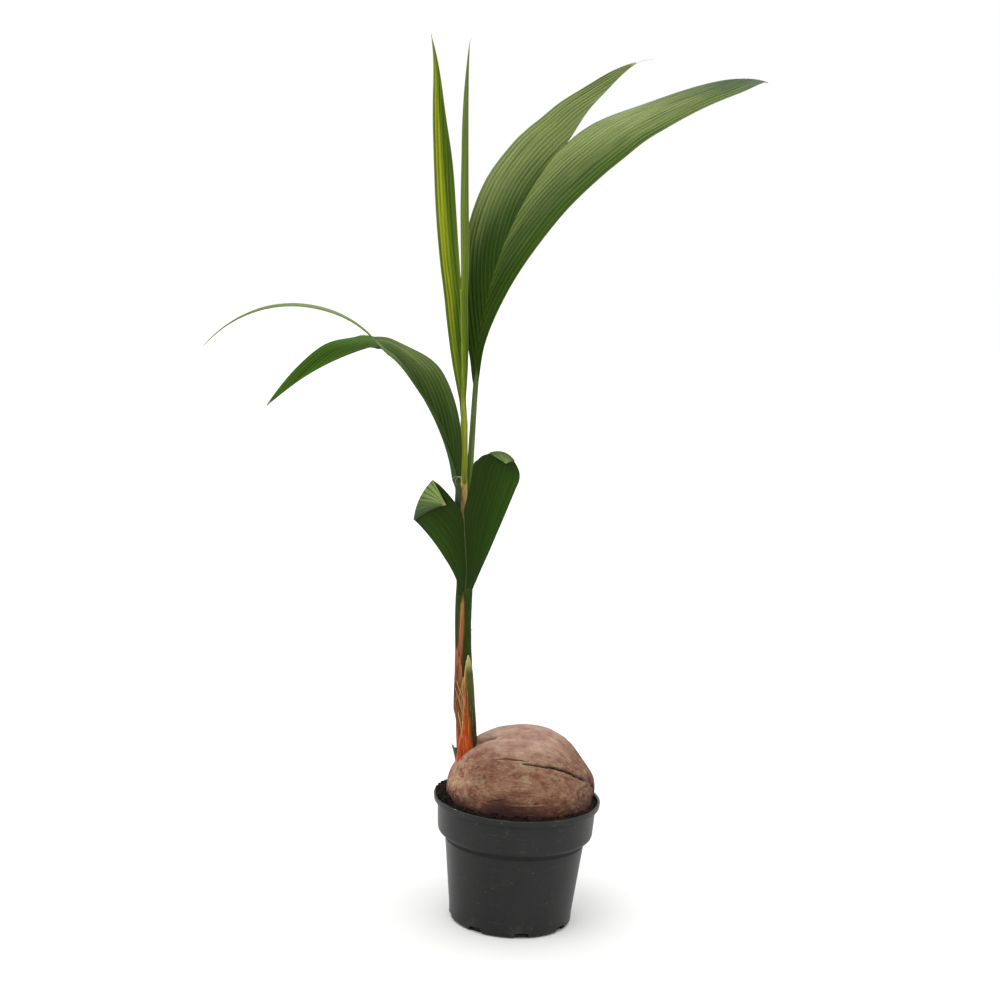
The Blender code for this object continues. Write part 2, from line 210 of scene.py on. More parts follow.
def relieved(rows, vs, side, relief):
    """Moves each point of a sheet along its upper normal by relief(v, u)."""
    made = []
    columns = len(rows[0]) - 1
    for i, (row, v) in enumerate(zip(rows, vs)):
        before, after = rows[max(i - 1, 0)], rows[min(i + 1, len(rows) - 1)]
        new_row = []
        for j, point in enumerate(row):
            out = row[min(j + 1, columns)] - row[max(j - 1, 0)]
            normal = (after[j] - before[j]).cross(out).normalized()
            new_row.append(point + normal * (side * relief(v, j / columns)))
        made.append(new_row)
    return made


def leaf_piece(name, half, finishes, nodes, rows, vs, veins):
    """A leaf's sheet with its maps and marks. vs says how far along the leaf each row is."""
    columns = len(rows[0]) - 1
    marks = {"light": spread(vs, columns, lambda v, u: grid(half.light, v, u)),
             "warm": spread(vs, columns, lambda v, u: grid(half.warm, v, u))}
    maps = {"veins": spread(vs, columns, veins), "place": spread(vs, columns, lambda v, u: (u, v))}
    skin = Skin().patch(rows, flip=half.side > 0, marks=marks, **maps)
    skin.piece(name, finishes, nodes, "blade", SHEET_THICKNESS)


# ---------------------------------------------------------------- materials

class Value:
    """What a node gives at each place of a surface. Sums and products of values are nodes too."""

    def __init__(self, tree, socket):
        self.tree = tree
        self.socket = socket

    def math(self, operation, other=0.0):
        return node(self.tree, "Math", {0: self, 1: other}, operation=operation)

    def __add__(self, other):
        return self.math("ADD", other)

    def __sub__(self, other):
        return self.math("SUBTRACT", other)

    def __mul__(self, other):
        return self.math("MULTIPLY", other)

    def step(self, low, high, first=0.0, last=1.0):
        """A smooth step, from first at low to last at high."""
        given = {"Value": self, "From Min": low, "From Max": high, "To Min": first, "To Max": last}
        return node(self.tree, "MapRange", given, "Result", interpolation_type="SMOOTHSTEP")

    def ridge(self, width):
        """1 where the value is a whole number, and 0 further than width from one."""
        return ((self + 0.5).math("FRACT") - 0.5).math("ABSOLUTE").step(0.0, width, 1.0, 0.0)

    def split(self):
        """Its x, y and z."""
        parts = node(self.tree, "SeparateXYZ", {0: self}).socket.node.outputs
        return [Value(self.tree, part) for part in parts]


def link(tree, value, socket):
    """Sets a socket to a number or a colour, or links a value to it."""
    if isinstance(value, Value):
        tree.links.new(value.socket, socket)
    else:
        socket.default_value = value


def node(tree, kind, given=(), output=0, **settings):
    """The output of a new node, with what is given on its inputs."""
    made = tree.nodes.new("ShaderNode" + kind)
    for name, value in settings.items():
        setattr(made, name, value)
    for name, value in dict(given).items():
        link(tree, value, made.inputs[name])
    return Value(tree, made.outputs[output])


def tone(colour):
    """The linear colour of three numbers from 0 to 255. Values and linear colours stay as they are."""
    if isinstance(colour, Value) or len(colour) == 4:
        return colour
    parts = [part / 255.0 for part in colour]
    return (*(p / 12.92 if p <= 0.04045 else ((p + 0.055) / 1.055) ** 2.4 for p in parts), 1.0)


class Finish:
    """A procedural material, written as a chain of nodes."""

    def __init__(self, name, roughness, specular, uv_map="skin"):
        self.material = bpy.data.materials.new(name)
        self.material.use_nodes = True
        self.tree = self.material.node_tree
        self.uv_map = uv_map
        self.surface = self.tree.nodes["Principled BSDF"].inputs
        self.surface["Roughness"].default_value = roughness
        self.surface["Specular IOR Level"].default_value = specular

    def place(self):
        return node(self.tree, "TexCoord", output="Object")

    def uv(self, name=None):
        return node(self.tree, "UVMap", uv_map=name or self.uv_map)

    def mark(self, name):
        return node(self.tree, "Attribute", output="Fac", attribute_name=name)

    def noise(self, size, detail=4.0, roughness=0.55, distortion=0.0):
        """Noise, finer with size: one number or three for the object's place, two for its UV map."""
        given = {"Detail": detail, "Roughness": roughness, "Distortion": distortion}
        if isinstance(size, tuple):
            start = self.uv() if len(size) == 2 else self.place()
            spots = node(self.tree, "Mapping", {"Vector": start, "Scale": (*size, 1.0)[:3]})
            given.update({"Vector": spots, "Scale": 1.0})
        else:
            given.update({"Vector": self.place(), "Scale": size})
        return node(self.tree, "TexNoise", given, "Fac")

    def mix(self, factor, first, second, kind="MIX"):
        given = {"Factor": factor, "A": tone(first), "B": tone(second)}
        return node(self.tree, "Mix", given, "Result", data_type="RGBA", blend_type=kind)

    def coats(self, colour, *coats):
        """A colour with others over it. Each coat is (how much it covers, colour), or (value, where
        it starts, where it is full, how much it covers there, colour)."""
        for *cover, over in coats:
            if len(cover) > 1:
                value, low, high, most = cover
                cover = [value.step(low, high, 0.0, most)]
            colour = self.mix(cover[0], colour, over)
        return colour

    def done(self, colour, roughness=None, height=None, depth=0.0):
        bump = height and node(self.tree, "Bump", {"Height": height, "Distance": depth})
        for name, value in (("Base Color", colour), ("Roughness", roughness), ("Normal", bump)):
            if value:
                link(self.tree, value, self.surface[name])
        return self.material


LEAF_SHADE = (0.007, 0.020, 0.001, 1.0)
STALK_SHADE = (0.016, 0.030, 0.004, 1.0)
DRY_LEAF = (150, 138, 100)


def leaf_finish(name, deep, pale, warm, vein, line=0.65, roughness=0.45, dry=0.975, furrow_shade=0.36):
    """A pleated leaf. Its map "veins" counts the veins across and gives decimetres along, and its map "place"
    runs from 0 to 1 across and along. Its mark "light" is painted light and sheen, which turns it paler where
    the light falls, and its mark "warm" turns it yellower."""
    finish = Finish(name, roughness, 0.08, "veins")
    share = finish.uv("place").split()[1]
    number = finish.uv().split()[0] + (finish.noise((0.8, 0.6), 2.0) - 0.5) * 0.25
    streaks = finish.noise((3.1, 0.9), 5.0, 0.62)
    fine = finish.noise((16.0, 2.6), 3.0, 0.6)
    clouds = finish.noise((0.35, 1.4), 3.0)
    breaks = finish.noise((1.0, 1.3), 2.0)
    nearest = {"W": (number + 0.5).math("FLOOR")}
    chance = node(finish.tree, "TexWhiteNoise", nearest, "Value", noise_dimensions="1D")
    strength = chance.step(0.0, 1.0, 0.25, 1.0) * breaks.step(0.30, 0.60, 0.45, 1.0)
    main_vein = number.ridge(0.085) * strength
    thread = (number * 5.0).ridge(0.35)
    furrow = (number + 0.5).ridge(0.22)
    # The mark "light" is painted light and sheen: where it is high the leaf turns to its pale colour and its
    # veins show more.
    light = finish.mark("light") + (clouds - 0.5) * 0.3
    colour = finish.mix(light.step(0.0, 1.0), deep, pale)
    colour = finish.mix(finish.mark("warm"), colour, warm)
    vein = finish.mix(light.step(0.0, 0.7, 0.22, 1.0), colour, vein)
    tip = share.step(dry, 1.0) * streaks.step(0.30, 0.55, 0.5, 1.0)
    colour = finish.coats(
        colour,
        (streaks, 0.56, 0.30, 0.62, LEAF_SHADE),
        (streaks, 0.52, 0.74, 0.34, vein),
        (fine, 0.55, 0.35, 0.20, LEAF_SHADE),
        # Painted shade in the furrows between the pleats.
        (furrow * furrow_shade, LEAF_SHADE),
        (thread * 0.06, vein),
        (main_vein * line, vein),
        (tip, DRY_LEAF),
    )
    gloss = streaks.step(0.2, 0.8, roughness + 0.10, roughness - 0.05)
    return finish.done(colour, gloss, main_vein + thread * 0.20 + streaks * 0.5, 0.00028)


def stalk_finish(name, low, high, edge, rise=(0.2, 0.8)):
    """A petiole and midrib, with fibres along it. Its map "skin" goes round and along."""
    finish = Finish(name, 0.42, 0.20)
    fibres = finish.noise((26.0, 5.0))
    colour = finish.mix(finish.uv().split()[1].step(*rise), low, high)
    colour = finish.coats(colour, (finish.noise((3.0, 7.0), 3.0), 0.45, 0.65, 0.65, edge),
                          (fibres, 0.60, 0.30, 0.45, STALK_SHADE))
    return finish.done(colour, fibres.step(0.3, 0.7, 0.38, 0.52), fibres, 0.0004)


# ---------------------------------------------------------------- pot

POT_HEIGHT = 0.144
POT_SIDES = 288
# The radius of the small discs that close the pot's foot and floor, and the angle in degrees
# from which its edges are sharp.
POT_CORE = 0.0006
POT_SHARP = 40.0
DRAIN_COUNT = 8
DRAIN_FIRST_BEARING = -79.0
DRAIN_WIDTH = 0.0160
DRAIN_HEIGHT = 0.0066
DRAIN_DEPTH = 0.006
DRAIN_ROUNDING = 0.0022
# Section of the pot: (radius, height, rounding) of each corner, outside from the foot up,
# over the lip, and down the inside to the floor.
POT_SECTION = (
    (0.0700, 0.0000, 0.0062),
    (0.0702, 0.0120, 0.0040),
    (0.0796, 0.0955, 0.0008),
    (0.0818, 0.0985, 0.0012),
    (0.0876, 0.1030, 0.0014),
    (0.0884, 0.1056, 0.0010),
    (0.0904, 0.1368, 0.0008),
    (0.0944, 0.1378, 0.0007),
    (0.0950, 0.1440, 0.0011),
    (0.0920, 0.1440, 0.0009),
    (0.0890, 0.1375, 0.0010),
    (0.0866, 0.1062, 0.0010),
    (0.0776, 0.0970, 0.0012),
    (0.0682, 0.0070, 0.0030),
    (0.0640, 0.0026, 0.0020),
)


def rounded(corners, steps=5):
    """The section with each corner replaced by an arc-like curve."""
    made = []
    for i, (x, z, size) in enumerate(corners):
        here = Vector((x, z))
        ends = []
        for near in (corners[i - 1] if i else (0.0, z), corners[i + 1] if i + 1 < len(corners) else (0.0, z)):
            way = Vector(near[:2]) - here
            ends.append(here + way.normalized() * min(size, way.length * 0.48))
        made.extend(ends[0].lerp(here, t).lerp(here.lerp(ends[1], t), t) for t in shares(steps))
    return made


def pot_finish():
    finish = Finish("pot_plastic", 0.42, 0.20)
    height = finish.place().split()[2]
    cloud = finish.noise((14.0, 14.0, 5.0))
    scratches = finish.noise((30.0, 30.0, 900.0), 3.0, 0.6, 0.4)
    dust = finish.noise(55.0, 6.0, 0.7)
    specks = node(finish.tree, "TexVoronoi", {"Vector": finish.place(), "Scale": 210.0}, "Distance")
    dirt = dust.step(0.52, 0.72) * height.step(0.100, 0.144, 0.03, 0.22)
    low_dirt = dust.step(0.50, 0.65) * height.step(0.030, 0.0, 0.0, 0.16)
    spots = specks.step(0.10, 0.16, 1.0, 0.0) * dust.step(0.50, 0.60)
    # Painted shade along the ledge where the body meets the collar, which is also rougher there.
    ledge_shade = height.step(0.093, 0.095) * height.step(0.104, 0.099)
    colour = finish.coats(
        finish.mix(cloud.step(0.35, 0.65), (24, 25, 24), (29, 30, 29)),
        (scratches, 0.62, 0.75, 0.25, (84, 85, 82)),
        (dirt, (98, 88, 76)),
        (low_dirt, (84, 70, 58)),
        (spots * (height.step(0.128, 0.145) * 0.7 + 0.12), (176, 172, 160)),
        (ledge_shade * 0.3, (14, 14, 14)),
    )
    gloss = cloud.step(0.3, 0.7, 0.36, 0.46) + dirt * 0.35 + ledge_shade * 0.4
    return finish.done(colour, gloss, finish.noise(900.0, 3.0) + scratches * 0.8, 0.00008)


def build_pot():
    ends = [Vector((POT_CORE, POT_SECTION[i][1])) for i in (0, -1)]
    section = ends[:1] + rounded(POT_SECTION) + ends[1:]
    rows = [[Vector((math.cos(t) * x, math.sin(t) * x, z)) for t in ring(POT_SIDES)] for x, z in section]
    skin = Skin().patch(rows, wrap=True, caps=True)
    pot = skin.piece("nursery_pot", [pot_finish()], ["pot"], "pot_plastic")
    cutters = drain_cutters()
    cut = pot.modifiers.new("drains", "BOOLEAN")
    cut.operation = "DIFFERENCE"
    cut.object = cutters
    bpy.context.view_layer.update()
    data = bpy.data.meshes.new_from_object(pot.evaluated_get(bpy.context.evaluated_depsgraph_get()))
    pot.modifiers.clear()
    pot.data = data
    data.shade_smooth()
    data.set_sharp_from_angle(angle=math.radians(POT_SHARP))
    bpy.data.objects.remove(cutters)


def drain_cutters():
    """Round-cornered blocks that cut the drain notches in the pot's foot."""
    shape = bmesh.new()
    for i in range(DRAIN_COUNT):
        bearing = DRAIN_FIRST_BEARING + 360.0 * i / DRAIN_COUNT
        reach = POT_SECTION[0][0] + 0.001 - DRAIN_DEPTH / 2
        place = Matrix.Translation(round_about(bearing) * reach)
        place @= Matrix.Rotation(math.radians(bearing), 4, "Z")
        place @= Matrix.Diagonal((DRAIN_DEPTH + 0.002, DRAIN_WIDTH, DRAIN_HEIGHT * 2, 1.0))
        bmesh.ops.create_cube(shape, size=1.0, matrix=place)
    long_edges = [edge for edge in shape.edges if abs(edge.verts[0].co.z - edge.verts[1].co.z) < 1e-6
                  and edge.verts[0].co.z > 0.0 and edge.calc_length() < DRAIN_WIDTH * 0.8]
    bmesh.ops.bevel(shape, geom=long_edges, offset=DRAIN_ROUNDING, segments=5, affect="EDGES", profile=0.5)
    data = bpy.data.meshes.new("drain_cutters")
    shape.to_mesh(data)
    shape.free()
    made = bpy.data.objects.new("drain_cutters", data)
    bpy.context.scene.collection.objects.link(made)
    return made


# ---------------------------------------------------------------- husk

# The nut lies along X with its left end turned to the front. Its radius is the height above
# its centre: its depth and its underside are shares of that, and the taper makes its right
# end the thicker one.
HUSK_CENTRE = Vector((0.0026, 0.0, 0.1402))
HUSK_HALF_LENGTH = 0.0848
HUSK_RADIUS = 0.0833
HUSK_DEPTH = 0.92
HUSK_UNDERSIDE = 0.80
HUSK_TAPER = 0.055
HUSK_RIDGE = 0.030
HUSK_RIDGE_BEARING = 62.0
HUSK_BLUNTNESS = 2.175
HUSK_TURN = 12.0
HUSK_ROWS = 250
HUSK_COLUMNS = 390
HUSK_CROWDING = 0.45
HUSK_CROWD_BEARING = 150.0
# Half the height over which the dark band at the soil fades: a stain of wet soil, and painted shade where the
# husk meets the soil.
DAMP_AND_SHADE_BLUR = 0.0022
# Cracks and grooves: knots as (millimetres along the nut from its middle, degrees round it: 90 is the top and
# 180 the front), half width and depth in millimetres, and how dark the shade painted in the bottom is.
Groove = namedtuple("Groove", "knots width depth dark")
# How far past its ends a groove is still felt.
GROOVE_REACH = 0.012
HUSK_GROOVES = (
    Groove(((-40, 126), (-27, 128), (-16, 131), (-4, 133)), 0.7, 2.2, 1.0),
    Groove(((-10, 135), (6, 137), (27, 139), (44, 141), (58, 143), (70, 141)), 1.3, 4.6, 1.0),
    Groove(((50, 143), (66, 141), (78, 137), (83, 135)), 3, 2.2, 0.45),
    Groove(((56, 157), (68, 150), (80, 139)), 1.6, 1.2, 0.35),
    Groove(((60, 130), (72, 133), (81, 136)), 1.4, 1, 0.30),
    Groove(((-52, 166), (-42, 165), (-31, 164)), 0.6, 1.2, 0.5),
    Groove(((-1, 168), (3, 167)), 0.9, 1.2, 0.8),
    Groove(((-20, 42), (10, 38), (40, 37)), 0.9, 2.5, 0.9),
    Groove(((-80, 82), (-62, 86), (-46, 93), (-36, 98)), 5.8, 8.8, 0.30),
    Groove(((-30, 232), (0, 229), (34, 233)), 0.9, 2.8, 0.9),
    Groove(((10, 12), (35, 10), (60, 14)), 0.9, 2.5, 0.9),
)
# Broad hollows and bumps: (metres along, degrees round, metres of reach along and round,
# metres outwards). The first two stand behind and before the stem.
HUSK_FORMS = (
    (-0.054, 72, 0.016, 0.012, 0.0020),
    (-0.062, 106, 0.020, 0.012, 0.0036),
    (0.062, 110, 0.022, 0.034, -0.0040),
    (0.084, 118, 0.014, 0.016, 0.0045),
    (0.066, 166, 0.020, 0.016, -0.0040),
    (0.010, 158, 0.040, 0.018, 0.0010),
)


def husk_surface(direction):
    """A point of the husk: blunt ends and three rounded ridges along its length."""
    turn = math.atan2(direction.z, direction.y)
    girth = math.hypot(direction.y, direction.z)
    power = HUSK_BLUNTNESS
    reach = (abs(direction.x) ** power + girth ** power) ** (-1.0 / power)
    ridge = 1.0 + HUSK_RIDGE * math.cos(3.0 * (turn - math.radians(HUSK_RIDGE_BEARING))) * girth ** 2
    radius = HUSK_RADIUS * ridge * (1.0 + HUSK_TAPER * direction.x * reach)
    height = radius * (1.0 if direction.z > 0.0 else HUSK_UNDERSIDE)
    along = round_about(HUSK_TURN) * (direction.x * reach * HUSK_HALF_LENGTH)
    behind = round_about(HUSK_TURN + 90.0) * (direction.y * reach * radius * HUSK_DEPTH)
    return HUSK_CENTRE + along + behind + UP * (direction.z * reach * height)


def husk_map(along, degrees, girth):
    """Metres along the nut and round it, in which the grooves are measured."""
    return Vector((along, math.radians(degrees) * HUSK_RADIUS * max(girth, 0.25)))


def off_line(point, knots):
    """The distance from a point to a line of knots, and how far along it from 0 to 1."""
    found = []
    for i, (start, end) in enumerate(zip(knots, knots[1:])):
        run = end - start
        t = min(max((point - start).dot(run) / run.length_squared, 0.0), 1.0)
        found.append(((point - start - run * t).length, (i + t) / (len(knots) - 1)))
    return min(found)


def husk_relief(along, degrees, girth, point):
    """How far the husk stands out of its plain form, and how much shade is painted in its grooves, at a
    place.
    """
    here = husk_map(along, degrees, girth)
    out = 0.0010 * rough(point, 0.040) + 0.0003 * rough(Vector((point.x * 0.2, point.y, point.z)), 0.0035)
    for x, bearing, long_reach, round_reach, height in HUSK_FORMS:
        off = husk_map(x, bearing, girth) - here
        out += height * math.exp(-(off.x / long_reach) ** 2 - (off.y / round_reach) ** 2)
    dark = 0.0
    for groove in HUSK_GROOVES:
        places = [x * MM for x, _ in groove.knots]
        if not min(places) - GROOVE_REACH <= along <= max(places) + GROOVE_REACH:
            continue
        line = [husk_map(x * MM, bearing, girth) for x, bearing in groove.knots]
        shaken = here + Vector((0.0, 0.0006 * rough(point + UP, 0.006, 2)))
        away, share = off_line(shaken, line)
        width = groove.width * MM * (0.25 + 0.75 * math.sin(math.pi * min(max(share, 0.08), 0.92)))
        out -= groove.depth * MM * math.exp(-(away / width) ** 2)
        dark = max(dark, groove.dark * math.exp(-(away / (width * 1.15)) ** 2))
    return out, dark


def husk_finish():
    finish = Finish("coconut_husk", 0.88, 0.20)
    x, _, z = finish.place().split()
    fibres = finish.noise((60.0, 460.0, 460.0), 5.0, 0.62, 0.3)
    threads = finish.noise((30.0, 190.0, 190.0), 4.0, 0.6, 0.5)
    patches = finish.noise((20.0, 34.0, 34.0), 5.0, 0.6, 0.6)
    mottle = finish.noise((70.0, 130.0, 130.0), 5.0, 0.65)
    colour = finish.coats(
        finish.mix(patches.step(0.36, 0.64), (136, 94, 78), (160, 128, 108)),
        (mottle, 0.50, 0.62, 0.75, (110, 58, 44)),
        (mottle, 0.46, 0.34, 0.60, (180, 158, 132)),
        (threads, 0.46, 0.32, 0.60, (80, 46, 34)),
        (fibres, 0.54, 0.72, 0.45, (188, 160, 134)),
        (finish.noise(520.0, 4.0, 0.6), 0.50, 0.64, 0.45, (88, 56, 44)),
        (z.step(0.185, 0.222) * patches.step(0.30, 0.60, 0.25, 0.6), (148, 128, 118)),
    )
    # Painted shade and light: the nut is darkest low down, and lighter towards its left end and its top, as
    # the light falls on it.
    low_shade = finish.mix(z.step(0.148, 0.172), (0.27, 0.20, 0.17, 1.0), (0.52, 0.48, 0.42, 1.0))
    high_shade = finish.mix(x.step(-0.040, -0.075), low_shade, (0.90, 0.88, 0.82, 1.0))
    high_shade = finish.mix(z.step(0.150, 0.166), low_shade, high_shade)
    shading = finish.mix(z.step(0.190, 0.218), high_shade, (0.84, 0.82, 0.80, 1.0))
    colour = finish.coats(
        finish.mix(1.0, colour, shading, "MULTIPLY"),
        (z.step(0.186, 0.150) * threads.step(0.52, 0.66, 0.0, 0.45), (142, 112, 78)),
        # Painted shade where the husk meets the soil, over a stain of wet soil.
        (finish.mark("damp") * 0.92, (40, 20, 19)),
        # Painted shade in the bottoms of the grooves and cracks.
        (finish.mark("groove_shade"), (24, 12, 10)),
    )
    return finish.done(colour, None, fibres * 0.8 + threads + mottle * 0.6, 0.0012)


def build_husk():
    cells = []
    for share in shares(HUSK_ROWS):
        tilt = math.pi * (0.002 + 0.996 * share)
        girth = math.sin(tilt)
        row = []
        for turn in ring(HUSK_COLUMNS):
            # Columns are closest together round the front, where the finest cracks are.
            turn -= HUSK_CROWDING * math.sin(turn - math.radians(HUSK_CROWD_BEARING))
            point = husk_surface(Vector((-math.cos(tilt), girth * math.cos(turn), girth * math.sin(turn))))
            along = (point - HUSK_CENTRE).dot(round_about(HUSK_TURN))
            out, dark = husk_relief(along, math.degrees(turn) % 360.0, girth, point)
            above = (point.z - husk_damp_and_shade_level(point)) * 0.2 - 0.0007 * rough(point, 0.012)
            damp = blend(DAMP_AND_SHADE_BLUR, -DAMP_AND_SHADE_BLUR, above)
            row.append((point + (point - HUSK_CENTRE).normalized() * out, dark, damp))
        cells.append(row)
    rows, groove_shades, damp_and_shade_marks = unzip(cells)
    skin = Skin().patch(rows, wrap=True, flip=True, caps=True, marks={"groove_shade": groove_shades, "damp": damp_and_shade_marks})
    skin.piece("husk_shell", [husk_finish()], ["coconut_husk"], "husk")


def husk_damp_and_shade_level(point):
    """The height below which the husk is dark at the soil, higher in places: a stain of wet soil, and painted
    shade where it meets the soil.
    """
    return 0.149 + 0.014 * math.exp(-((point.x + 0.018) / 0.014) ** 2)


# ---------------------------------------------------------------- soil

SOIL_LEVEL = POT_HEIGHT - 0.0028
SOIL_RINGS = 80
SOIL_SIDES = 320
SOIL_START = 0.35
# Between the soil and the pot's wall.
SOIL_GAP = 0.0003
# Radius and height of its underside's edge.
SOIL_FOOT = (0.060, 0.0030)
# The soil rises this much from the pot's wall to the husk.
SOIL_RISE = 0.0060
HEAP_BEARING = 186.0
# Where it lies higher or lower at the wall: (bearing, degrees of reach, metres up).
SOIL_MOUNDS = ((HEAP_BEARING, 22, 0.0060), (262, 26, -0.0012), (322, 28, 0.0016))
CRUMBS = 620
CRUMB_SEED = 5
HEAPED_CRUMBS = 0.30
CRUMB_SQUASH = ((0.7, 1.3), (0.7, 1.3), (0.5, 0.9))
COIR_BITS = 150
COIR_SEED = 9


def soil_finish(name, low, high, grit_tone, grit_share):
    finish = Finish(name, 0.95, 0.1)
    grit = finish.noise(420.0, 6.0, 0.7)
    colour = finish.mix(finish.noise(90.0).step(0.35, 0.65), low, high)
    return finish.done(finish.coats(colour, (grit, 0.58, 0.74, grit_share, grit_tone)), None, grit, 0.0015)


def pot_inner_radius(height):
    """The inside radius of the pot at a height."""
    inside = [corner[:2] for corner in POT_SECTION[9:14]]
    for (top_radius, top), (low_radius, low) in zip(inside, inside[1:]):
        if low <= height <= top:
            return low_radius + (top_radius - low_radius) * (height - low) / (top - low)
    return inside[-1][0]


def soil_wall_level(bearing):
    """The height of the soil where it meets the pot's wall."""
    level = SOIL_LEVEL
    for middle, reach, up in SOIL_MOUNDS:
        off = (bearing - middle + 180.0) % 360.0 - 180.0
        level += up * math.exp(-(off / reach) ** 2)
    return level


def soil_top(bearing, share):
    """A point of the soil's top, at this share of the way from the middle to the wall."""
    level = soil_wall_level(bearing)
    radius = (pot_inner_radius(min(level, POT_HEIGHT - 0.0006)) - SOIL_GAP) * share
    place = round_about(bearing) * radius
    clods = 0.0016 * rough(place, 0.012) + 0.0011 * rough(place + UP, 0.0035)
    return place + UP * (level + SOIL_RISE * blend(1.0, 0.80, share) + clods)


def build_soil(finish):
    bearings = [360.0 * j / SOIL_SIDES for j in range(SOIL_SIDES)]
    rows = []
    for share in shares(SOIL_RINGS - 1):
        rows.append([soil_top(bearing, SOIL_START + (1.0 - SOIL_START) * share) for bearing in bearings])
    walls = [(pot_inner_radius(height) - SOIL_GAP, height) for height in (0.1063, 0.0980, 0.0075)]
    for radius, height in walls + [SOIL_FOOT]:
        rows.append([round_about(bearing) * radius + UP * height for bearing in bearings])
    Skin().patch(rows, wrap=True, flip=True, caps=True).piece("potting_soil", [finish], ["soil"], "soil")


def build_crumbs(finishes):
    """Loose crumbs on the soil, thickest where it is heaped over the rim at the left."""
    chance = random.Random(CRUMB_SEED)
    skin = Skin()
    for _ in range(CRUMBS):
        heaped = chance.random() < HEAPED_CRUMBS
        bearing = chance.gauss(HEAP_BEARING, 20.0) if heaped else chance.uniform(0.0, 360.0)
        size = chance.uniform(0.0005, 0.0018) * (1.2 if heaped else 1.0)
        share = chance.uniform(0.90, 1.015) if heaped else chance.uniform(0.84, 0.955)
        middle = soil_top(bearing, share) + UP * size * 0.3
        middle.z = max(middle.z, POT_HEIGHT + size * 0.5) if share > 1.0 else middle.z
        squash = [chance.uniform(*ends) * size for ends in CRUMB_SQUASH]
        rows = []
        for v in shares(3):
            tilt = math.pi * (0.12 + 0.76 * v)
            ways = [round_about(60.0 * j) * math.sin(tilt) + UP * math.cos(tilt) for j in range(6)]
            bumps = [Vector(a * b for a, b in zip(way, squash)) * chance.uniform(0.8, 1.2) for way in ways]
            rows.append([middle + bump for bump in bumps])
        skin.patch(rows, wrap=True, caps=True, flip=True, kind=chance.choice((0, 0, 0, 1)))
    skin.piece("soil_crumbs", finishes, (), "soil")


def build_coir(finish):
    """Short bits of fibre that lie on the soil and stick out of it."""
    chance = random.Random(COIR_SEED)
    skin = Skin()
    for _ in range(COIR_BITS):
        bearing, share = chance.uniform(0.0, 360.0), chance.uniform(0.86, 0.97)
        start = soil_top(bearing, share)
        rise = chance.uniform(0.0, 35.0)
        heading = pointing(rise, bearing + chance.choice((-90.0, 90.0)) + chance.gauss(0.0, 30.0))
        length, sag = chance.uniform(0.003, 0.010), chance.uniform(0.1, 0.4)
        points = [start + heading * (length * t) - UP * (sag * length * t ** 2) for t in shares(6)]
        strand(skin, points, chance.uniform(0.00010, 0.00022), 0.4, 4)
    skin.piece("soil_fibres", [finish], (), "soil")


# ---------------------------------------------------------------- stem

STEM_FOOT = Vector((-0.0602, 0.002, 0.1800))
STEM_FORK = Vector((-0.0812, 0.002, 0.5142))
STEM_BOW = 0.0024
STEM_KNEE = 0.0017
STEM_KNEE_PLACE = 0.615
STEM_KNEE_REACH = 0.085
STEM_RADII = (0.0108, 0.0108, 0.0100, 0.0088, 0.0083, 0.0082, 0.0078, 0.0058, 0.0048, 0.0041)
STEM_ROWS = 340
STEM_SIDES = 96


def stem_share(height):
    """How far up the stem a height is."""
    return (height - STEM_FOOT.z) / (STEM_FORK.z - STEM_FOOT.z)


def stem_point(u):
    """The stem's axis, from its foot at u=0 to its fork at u=1."""
    point = STEM_FOOT.lerp(STEM_FORK, u)
    point.x -= STEM_BOW * math.sin(math.pi * u)
    point.x += STEM_KNEE * math.exp(-((u - STEM_KNEE_PLACE) / STEM_KNEE_REACH) ** 2)
    return point


def on_stem(u, bearing, out):
    """A place round the stem, this far out from its surface."""
    return stem_point(u) + round_about(bearing) * (smooth(STEM_RADII, u) + out)


def bark_colours(finish, colour, dark, pale, strength):
    """Lengthwise fibres over a colour, and how far they stand out."""
    fibres = finish.noise((60.0, 16.0), 5.0, 0.62, 0.2)
    hairs = finish.noise((150.0, 30.0), 3.0, 0.6, 0.6)
    colour = finish.coats(
        colour,
        (fibres, 0.46, 0.26, strength, dark),
        (fibres, 0.54, 0.74, strength, pale),
        (hairs, 0.60, 0.70, 0.35, pale),
    )
    return colour, fibres + hairs * 0.6


def stem_finish():
    finish = Finish("sheath", 0.65, 0.12)
    height = finish.uv().split()[1]
    patched = finish.noise((5.0, 14.0), 4.0, 0.6).step(0.54, 0.68, 0.0, 0.75) * height.step(0.99, 0.92)
    colour = finish.coats(
        finish.mix(height.step(0.10, 0.26), (150, 60, 28), (98, 42, 24)),
        (height, 0.34, 0.42, 1.0, (128, 78, 50)),
        (height, 0.47, 0.57, 1.0, (158, 112, 64)),
        (height, 0.72, 0.82, 1.0, (204, 168, 100)),
        (height, 0.955, 0.995, 1.0, (128, 134, 30)),
        (patched, (118, 58, 36)),
    )
    colour, fibres = bark_colours(finish, colour, (74, 36, 20), (216, 156, 98), 0.55)
    return finish.done(colour, None, fibres, 0.0007)


def build_stem():
    rows = []
    for u in shares(STEM_ROWS):
        row = []
        for j in range(STEM_SIDES):
            bearing = 360.0 * j / STEM_SIDES
            fibre = rough(round_about(bearing) * 0.01 + UP * (u * 0.05), 0.0022, 3)
            row.append(on_stem(u, bearing, 0.00022 * fibre - 0.0004))
        rows.append(row)
    Skin().patch(rows, wrap=True, caps=True).piece("stem_core", [stem_finish()], ["trunk"], "sheath")


